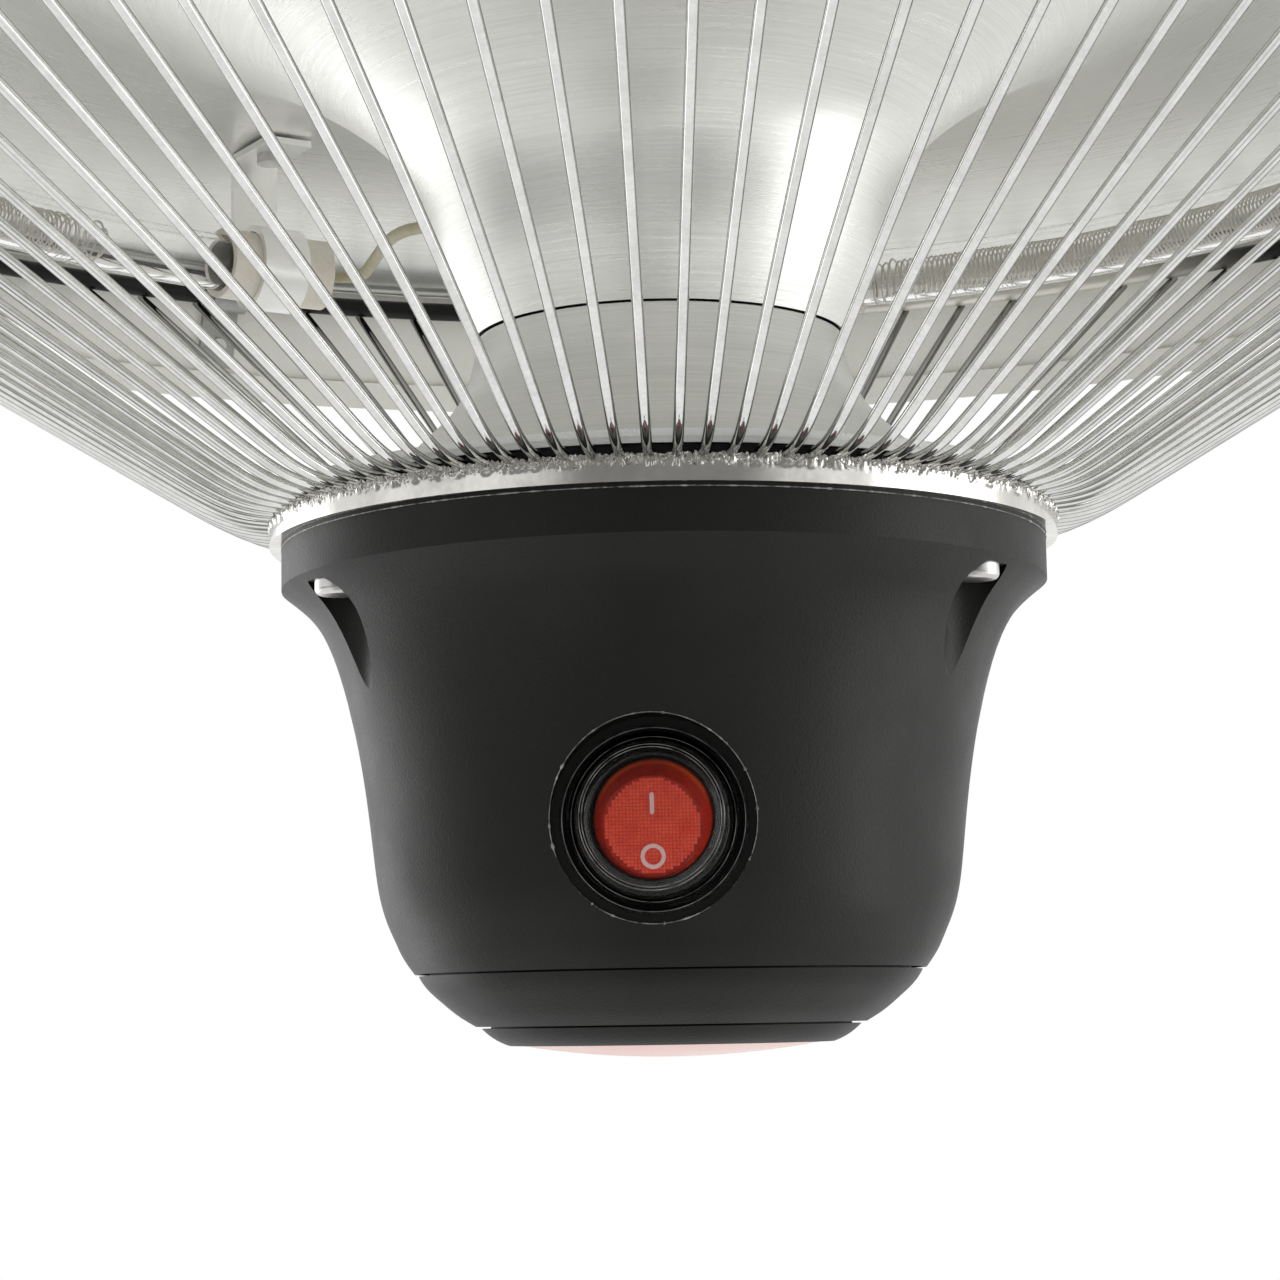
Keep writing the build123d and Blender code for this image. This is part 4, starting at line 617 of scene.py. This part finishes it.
# a wire lies flat at its low height and rises at its slope past the bend, rounded by a soft corner,
# and it stands a little off its even pitch, as the welding leaves it
reach = np.concatenate([np.linspace(wire_foot, 0.0800, 18), np.linspace(0.085, wire_end, 8)])
rise = wire_low + wire_slope * bend_size * np.log1p(np.exp((reach - bend_at) / bend_size))
tilt = np.arctan2(np.gradient(rise), np.gradient(reach))
wires = np.arange(wire_count)
wire_turn = wire_phase + 2 * np.pi * wires / wire_count + wire_wander * np.sin(7.3 * wires**1.3)
outward = np.stack([np.cos(wire_turn), np.sin(wire_turn), 0 * wire_turn], -1)[:, None, :]
wire_line = reach[:, None] * outward + (rise - flange_drop)[:, None] * upward
wire_up = -np.sin(tilt)[:, None] * outward + np.cos(tilt)[:, None] * upward
beside_wire = np.cross(upward, outward) * np.ones((len(reach), 1))
wire_points = swept(wire_line, beside_wire, wire_up, ring_section(wire_radius, sides=12))
piece("guard_wires", strands("guard_wires", wire_points), chrome, "heater", "guard_chrome", "guard_bars")

# the ring's outer face is smooth below and crusted with weld above, with a web up each wire
ring_columns = 1600
ring_outer = 0.0639
ring_smooth_to = 0.0021
ring_top = 0.0040
crust_blend = 0.0006
crust_depth = 0.00010
crust_rise = 0.00013
web_width = 0.0008
web_depth = 0.00022
web_rise = 0.00040
streak_length = 6
ring_rest = np.array([(62.4, 4.0), (62.4, 1.2), (59.9, 1.2), (59.9, 0.0)]) / 1000
face_heights = np.concatenate([np.linspace(0.0, ring_smooth_to, 6), np.linspace(0.0024, ring_top, 10)])
crust = np.clip((face_heights - ring_smooth_to) / crust_blend, 0, 1)
seeded = np.random.default_rng(7)
streaks = seeded.normal(size=(ring_columns, len(face_heights) + streak_length - 1))
streaks = sum(streaks[:, k:k + len(face_heights)] for k in range(streak_length)) / np.sqrt(streak_length)
ring_turn = np.linspace(0, 2 * np.pi, ring_columns, endpoint=False)[:, None]
from_wire = np.abs(np.angle(np.exp(1j * (ring_turn - wire_turn[None, :])))).min(1) * ring_outer
web = np.exp(-(from_wire / web_width) ** 2)[:, None]
radii = ring_outer + crust * (crust_depth * streaks + web_depth * web)
heights = face_heights + crust**2 * (crust_rise * streaks + web_rise * web)
radii = np.concatenate([radii, np.tile(ring_rest[:, 0], (ring_columns, 1))], 1)
heights = np.concatenate([heights, np.tile(ring_rest[:, 1], (ring_columns, 1))], 1)
ring_points = np.stack([radii * np.cos(ring_turn), radii * np.sin(ring_turn), heights - flange_drop], -1)
ring_chrome = finish("ring_chrome", light=(0.74, 0.73, 0.69), dark=(0.60, 0.59, 0.55), smooth=0.10,
                     rough=0.20, patch_scale=160.0, grain_scale=700.0, Metallic=1.0)
piece("welded_ring", surface("welded_ring", ring_points), ring_chrome, "heater", "guard_chrome",
      "guard_inner_ring")

clip_steel = finish("clip_steel", light=(0.42, 0.42, 0.40), dark=(0.34, 0.34, 0.32), smooth=0.35, rough=0.5,
                    patch_scale=90.0, Metallic=0.7)
dress(clip_steel, "guard_clips")
dress(zinc, "clip_screws")
# the outer ring's colour is painted along X: pale cream behind the lamps' ends, a painted reflection of the
# cream wall, and black to both sides, a painted shadow of the gap under the reflector's edge
rim_steel = finish("rim_steel", light=(0.76, 0.74, 0.67), dark=(0.66, 0.64, 0.58), smooth=0.30, rough=0.42,
                   patch_scale=60.0, Metallic=0.7)
tree = rim_steel.node_tree
rim_x = coordinates(tree)[0]
painted_shade_sides = calculate(tree, "MAXIMUM", eased_step(tree, rim_x, -0.046, -0.054),
                   eased_step(tree, rim_x, 0.085, 0.125))
tinted(rim_steel, painted_shade_sides, (0.016, 0.016, 0.015))
dress(rim_steel, "guard_outer_ring")

# The housing: a bell moulded in black plastic, with three screw pockets and the round recess of
# the switch. A lower ring and a bezel are fitted below it, and a frosted pink lens closes the bottom.
dress(black_moulding, "housing_body", "housing_lower_ring", "lens_bezel")
dress(zinc, "housing_screws")
lens_pink = finish("lens_pink", light=(0.90, 0.50, 0.42), dark=(0.85, 0.44, 0.37), smooth=0.18, rough=0.28,
                   Transmission_Weight=0.10)
dress(lens_pink, "lens")

# moulding flash with real nicks runs round two edges, the flange's top edge and the rim of the recess; its
# light grey patches are painted highlights where it catches the light
flash_highlight_paint = finish("painted_flash_highlight", light=(0.34, 0.34, 0.32), dark=(0.012, 0.012, 0.011), smooth=0.15,
                 rough=0.4, patch_scale=420.0)
seeded = np.random.default_rng(11)


def nicked(count):
    """Nicks round an edge: the size of the sum of three neighbouring draws, scaled to about 1."""
    draws = seeded.normal(size=count + 2)
    return np.abs(draws[2:] + draws[1:-1] + draws[:-2]) / 2.6


flange_edge_radius = 0.06198
flange_edge_height = -0.00042
lip_flash = 0.00006
lip_nick = 0.00007
lip_columns = 1200
lip_sides = 6
a = np.linspace(0, 2 * np.pi, lip_columns, endpoint=False)[:, None]
b = np.linspace(0, 2 * np.pi, lip_sides, endpoint=False)
flash = lip_flash + lip_nick * nicked(lip_columns)[:, None]
lip_radius = flange_edge_radius + flash * np.cos(b)
lip_heights = flange_edge_height + flash * np.sin(b) - flange_drop
lip_points = np.stack([lip_radius * np.cos(a), lip_radius * np.sin(a), lip_heights], -1)
piece("flange_lip", surface("flange_lip", lip_points), flash_highlight_paint, "heater", "black_moulding")

# the recess is a round hole cut in from the front, so its rim lies on the flare's own surface
recess_height = -0.047
recess_radius = 0.01532
rim_sunk = 0.00002
rim_flash = 0.00005
rim_nick = 0.00004
rim_chip = 0.00022
rim_columns = 420
flare_heights = np.array([-68.6, -63.9, -60.4, -51.5, -44.5, -31.4, -21.5]) / 1000
flare_radii = np.array([41.0, 43.8, 45.3, 47.2, 48.0, 50.0, 52.4]) / 1000
a = np.linspace(0, 2 * np.pi, rim_columns, endpoint=False)[:, None]
nicks = nicked(rim_columns)[:, None]
chips = np.clip(nicks - 1.0, 0, 1)
flash = rim_flash + rim_nick * nicks + rim_chip * chips
rim_across = recess_radius * np.cos(a)
rim_height = recess_height + recess_radius * np.sin(a)
rim_front = -np.sqrt(np.interp(rim_height, flare_heights, flare_radii) ** 2 - rim_across**2)
rim_points = np.stack([rim_across + flash * np.cos(b) * np.cos(a), rim_front - flash * np.sin(b) - rim_sunk,
                       rim_height + flash * np.cos(b) * np.sin(a) - flange_drop], -1)
piece("recess_lip", surface("recess_lip", rim_points), flash_highlight_paint, "heater", "black_moulding")

# The switch: a round rocker in translucent red, its face a waffle of small prisms with the two
# printed marks, rocking on two pins in a black snap-in body.
dress(black_gloss, "switch_frame")
rocker_lean = np.radians(10.0)
rocker_place = np.array([0, -0.041, recess_height - flange_drop])
rocker_right = np.array([1.0, 0, 0])
rocker_up = np.array([0, -np.sin(rocker_lean), np.cos(rocker_lean)])
rocker_out = np.array([0, -np.cos(rocker_lean), -np.sin(rocker_lean)])


def on_rocker(across, up, out):
    """Points in the rocker's own frame: place + across right + up up + out out."""
    return (rocker_place + np.multiply.outer(across, rocker_right) + np.multiply.outer(up, rocker_up)
            + np.multiply.outer(out, rocker_out))


def lathed(name, profile, sides, place):
    """A body turned about its own axis from (radius, depth) rows: place(r cos a, r sin a, depth).
    The rows start at the back and end at the front, and a polygon closes each end."""
    a = np.linspace(0, 2 * np.pi, sides, endpoint=False)
    r = profile[:, 0, None]
    depth = profile[:, 1, None] + 0 * a
    return strands(name, place(r * np.cos(a), r * np.sin(a), depth)[None])


# the rocker is a ball that tapers to a neck and a round face, sunk a little inside its edge: rows
# of (radius, distance out) from the back of the ball to the middle of the face
ball_radius = 0.0093
foot_out = -0.0025
neck_out = 0.0045
face_out = 0.0067
face_reach = 0.00735
face_sunk = 0.00012
ball_turn = np.linspace(np.arcsin(foot_out / ball_radius), np.arcsin(neck_out / ball_radius), 14)
ball_rows = ball_radius * np.stack([np.cos(ball_turn), np.sin(ball_turn)], 1)
neck_rows = [(0.0077, 0.0057), (0.00752, 0.00628), (0.00740, 0.00658), (face_reach, face_out)]
face_rows = [(0.00722, face_out), (0.00716, face_out - face_sunk), (0.002, face_out - face_sunk)]
rocker_profile = np.concatenate([[(0.002, foot_out)], ball_rows, neck_rows, face_rows])
rocker_red = finish("rocker_red", light=(0.46, 0.022, 0.008), dark=(0.32, 0.013, 0.005), smooth=0.10,
                    rough=0.18, patch_scale=500.0, grain_scale=3000.0)
# painted glow: the top edge is painted orange for the light that comes through the clear red there
tree = rocker_red.node_tree
spot = coordinates(tree)
above = calculate(tree, "SUBTRACT", spot[2], float(rocker_place[2]))
at_rim = eased_step(tree, distance_from_axis(tree, spot[0], above), 0.0078, 0.0086)
painted_glow = calculate(tree, "MULTIPLY", at_rim, eased_step(tree, above, 0.001, 0.0065))
tinted(rocker_red, painted_glow, (0.95, 0.11, 0.02))
rocker_mesh = lathed("red_rocker", rocker_profile, sides=96, place=on_rocker)
piece("red_rocker", rocker_mesh, rocker_red, "rocker", "rocker_red", "rocker")

# each prism of the waffle is a low pyramid on a square foot
prism_pitch = 0.00052
prism_half = 0.000235
prism_rise = 0.00013
waffle_radius = 0.00696
prisms_each_way = 15
steps = np.arange(-prisms_each_way, prisms_each_way + 1) * prism_pitch
cells = np.stack(np.meshgrid(steps, steps), -1).reshape(-1, 2)
cells = cells[np.hypot(cells[:, 0], cells[:, 1]) < waffle_radius]
pyramid = np.array([(-1, -1, 0), (1, -1, 0), (1, 1, 0), (-1, 1, 0), (0, 0, 1)])
prism_across = cells[:, None, 0] + prism_half * pyramid[:, 0]
prism_up = cells[:, None, 1] + prism_half * pyramid[:, 1]
prism_out = face_out - face_sunk + prism_rise * pyramid[:, 2] + 0 * prism_up
waffle_points = on_rocker(prism_across, prism_up, prism_out).reshape(-1, 3)
first = len(pyramid) * np.arange(len(cells))[:, None]
slopes = [(first + np.array([k, (k + 1) % 4, 4])).tolist() for k in range(4)]
feet = (first + np.array([3, 2, 1, 0])).tolist()
waffle = bpy.data.meshes.new("waffle")
waffle.from_pydata(waffle_points.tolist(), [], sum(slopes, []) + feet)
# painted light: the prisms are painted a brighter orange red than the rocker's body, for the light that
# comes through the clear red face
prism_red_painted_lit = finish("prism_red_painted_lit", light=(1.0, 0.090, 0.032), dark=(0.84, 0.045, 0.016), smooth=0.14,
                   rough=0.24, patch_scale=400.0, grain_scale=2500.0)
piece("face_waffle", waffle, prism_red_painted_lit, "rocker", "rocker_red")

# the I is a rounded stroke and the O a flat ring, both printed across the prisms
mark_low = face_out - 0.00006
mark_high = face_out + 0.00005
on_centre = 0.0033
on_half = 0.0013
on_width = 0.00032
off_centre = -0.0045
off_reach = 0.00155
off_stroke = 0.00030
# a nudge off zero keeps the points at the stroke's middle on one side
nudge = 1e-9
mark_white = finish("mark_white", light=(0.98, 0.66, 0.64), dark=(0.90, 0.54, 0.52), smooth=0.35, rough=0.5,
                    patch_scale=900.0)
a = np.linspace(0, 2 * np.pi, 24, endpoint=False)
mark_out = np.array([mark_low, mark_high])[:, None] + 0 * a
stroke_across = on_width * np.cos(a) + 0 * mark_out
stroke_up = on_centre + on_half * np.sign(np.sin(a) + nudge) + on_width * np.sin(a) + 0 * mark_out
stroke_points = on_rocker(stroke_across, stroke_up, mark_out)[None]
piece("mark_on", strands("mark_on", stroke_points), mark_white, "rocker", "terminal_white")
a = np.linspace(0, 2 * np.pi, 48, endpoint=False)[:, None]
loop_radius = off_reach + off_stroke * np.array([-1, 1, 1, -1])
loop_out = np.array([mark_low, mark_low, mark_high, mark_high]) + 0 * a
loop_points = on_rocker(loop_radius * np.cos(a), off_centre + loop_radius * np.sin(a), loop_out)
piece("mark_off", surface("mark_off", loop_points), mark_white, "rocker", "terminal_white")

# The splash boot: clear soft rubber, moulded in steps up to a thin film over the rocker. Its
# flange lies round the switch's collar on the floor of the recess.
switch_place = np.array([0, -0.043, recess_height - flange_drop])


def on_switch(across, up, out):
    """Points in the switch's frame: across to the right, up, and out towards the front (-Y)."""
    return np.stack([switch_place[0] + across, switch_place[1] - out, switch_place[2] + up], -1)


def eased(corners, reach, most=0.45, steps=5):
    """A line with its inner corners eased: each corner c gives way to the curve
    (1-t)^2 a + 2t(1-t) c + t^2 b, with a and b on its two sides at the reach, or at most that
    share of the side away."""
    inner = corners[1:-1]
    before = corners[:-2] - inner
    after = corners[2:] - inner
    a = inner + before * np.minimum(reach / np.linalg.norm(before, axis=1), most)[:, None]
    b = inner + after * np.minimum(reach / np.linalg.norm(after, axis=1), most)[:, None]
    t = np.linspace(0, 1, steps)[None, :, None]
    bends = (1 - t) ** 2 * a[:, None] + 2 * t * (1 - t) * inner[:, None] + t**2 * b[:, None]
    return np.concatenate([corners[:1], bends.reshape(-1, 2), corners[-1:]])


# the section in millimetres of (radius, distance out): from the film back along the inside to the
# flange, and out again along the outside
boot_inside = [(0.5, 6.5), (9.2, 6.5), (10.0, 5.7), (11.7, 0.0), (11.3, 0.0)]
boot_outside = [(14.0, 0.0), (14.0, 1.0), (12.9, 1.0), (12.2, 1.3), (10.85, 6.3), (10.3, 7.2), (9.6, 7.3),
                (9.3, 7.05), (0.5, 7.05)]
boot_ease = 0.0004
boot_profile = eased(np.array(boot_inside + boot_outside) / 1000, boot_ease)
clear_rubber = finish("clear_rubber", light=(0.96, 0.96, 0.95), dark=(0.90, 0.90, 0.89), smooth=0.05,
                      rough=0.16, patch_scale=260.0, grain_scale=2600.0, depth=0.000004,
                      Transmission_Weight=1.0, IOR=1.10, Coat_Weight=0.15)
boot_mesh = lathed("clear_boot", boot_profile, sides=128, place=on_switch)
piece("clear_boot", boot_mesh, clear_rubber, "heater", "clear_boot", "switch_boot")

# the mould's parting lines stand as fine rings on the rubber, in the same painted highlight colour as the
# flash on the housing
line_rings = np.array([(10.20, 7.22), (10.62, 6.85), (12.15, 1.50), (13.55, 1.03)]) / 1000
line_size = 0.00006
line_columns = 160
line_sides = 6
a = np.linspace(0, 2 * np.pi, line_columns, endpoint=False)[:, None]
b = np.linspace(0, 2 * np.pi, line_sides, endpoint=False)
for number, (ring_radius, ring_out) in enumerate(line_rings, 1):
    r = ring_radius + line_size * np.cos(b)
    line_points = on_switch(r * np.cos(a), r * np.sin(a), ring_out + line_size * np.sin(b) + 0 * a)
    line_name = f"boot_line_{number}"
    piece(line_name, surface(line_name, line_points), flash_highlight_paint, "heater", "clear_boot")

# The electrical parts inside the housing: a green control board with its relays, screw connectors,
# remote receiver and signal lamps, the black supply wires, and the switch's brass blades. They are
# bought parts in plain plastic, glass and metal, soldered or screwed down.
board_green = finish("board_green", light=(0.02, 0.20, 0.08), dark=(0.015, 0.14, 0.05), smooth=0.3,
                     rough=0.45)
dress(board_green, "control_board")
connector_green = finish("connector_green", light=(0.04, 0.42, 0.16), dark=(0.03, 0.34, 0.12), smooth=0.35,
                         rough=0.5)
dress(connector_green, "board_connectors")
relay_blue = finish("component_blue", light=(0.03, 0.12, 0.42), dark=(0.02, 0.09, 0.34), smooth=0.3,
                    rough=0.42)
dress(relay_blue, "relays")
eye_dark = finish("dark_component", light=(0.030, 0.028, 0.030), dark=(0.020, 0.018, 0.020), smooth=0.15,
                  rough=0.25)
dress(eye_dark, "ir_receiver")
black_wire = finish("wire_black", light=(0.03, 0.03, 0.03), dark=(0.02, 0.02, 0.02), smooth=0.4, rough=0.5)
dress(black_wire, "supply_wires")
brass = finish("brass_blade", light=(0.78, 0.60, 0.28), dark=(0.66, 0.48, 0.20), smooth=0.25, rough=0.35,
               Metallic=1.0)
dress(brass, "switch_terminals")
red_lamp = finish("led_red", light=(0.65, 0.05, 0.04), dark=(0.5, 0.03, 0.03), smooth=0.15, rough=0.25)
dress(red_lamp, "indicator_leds")
dress(zinc, "board_screws")
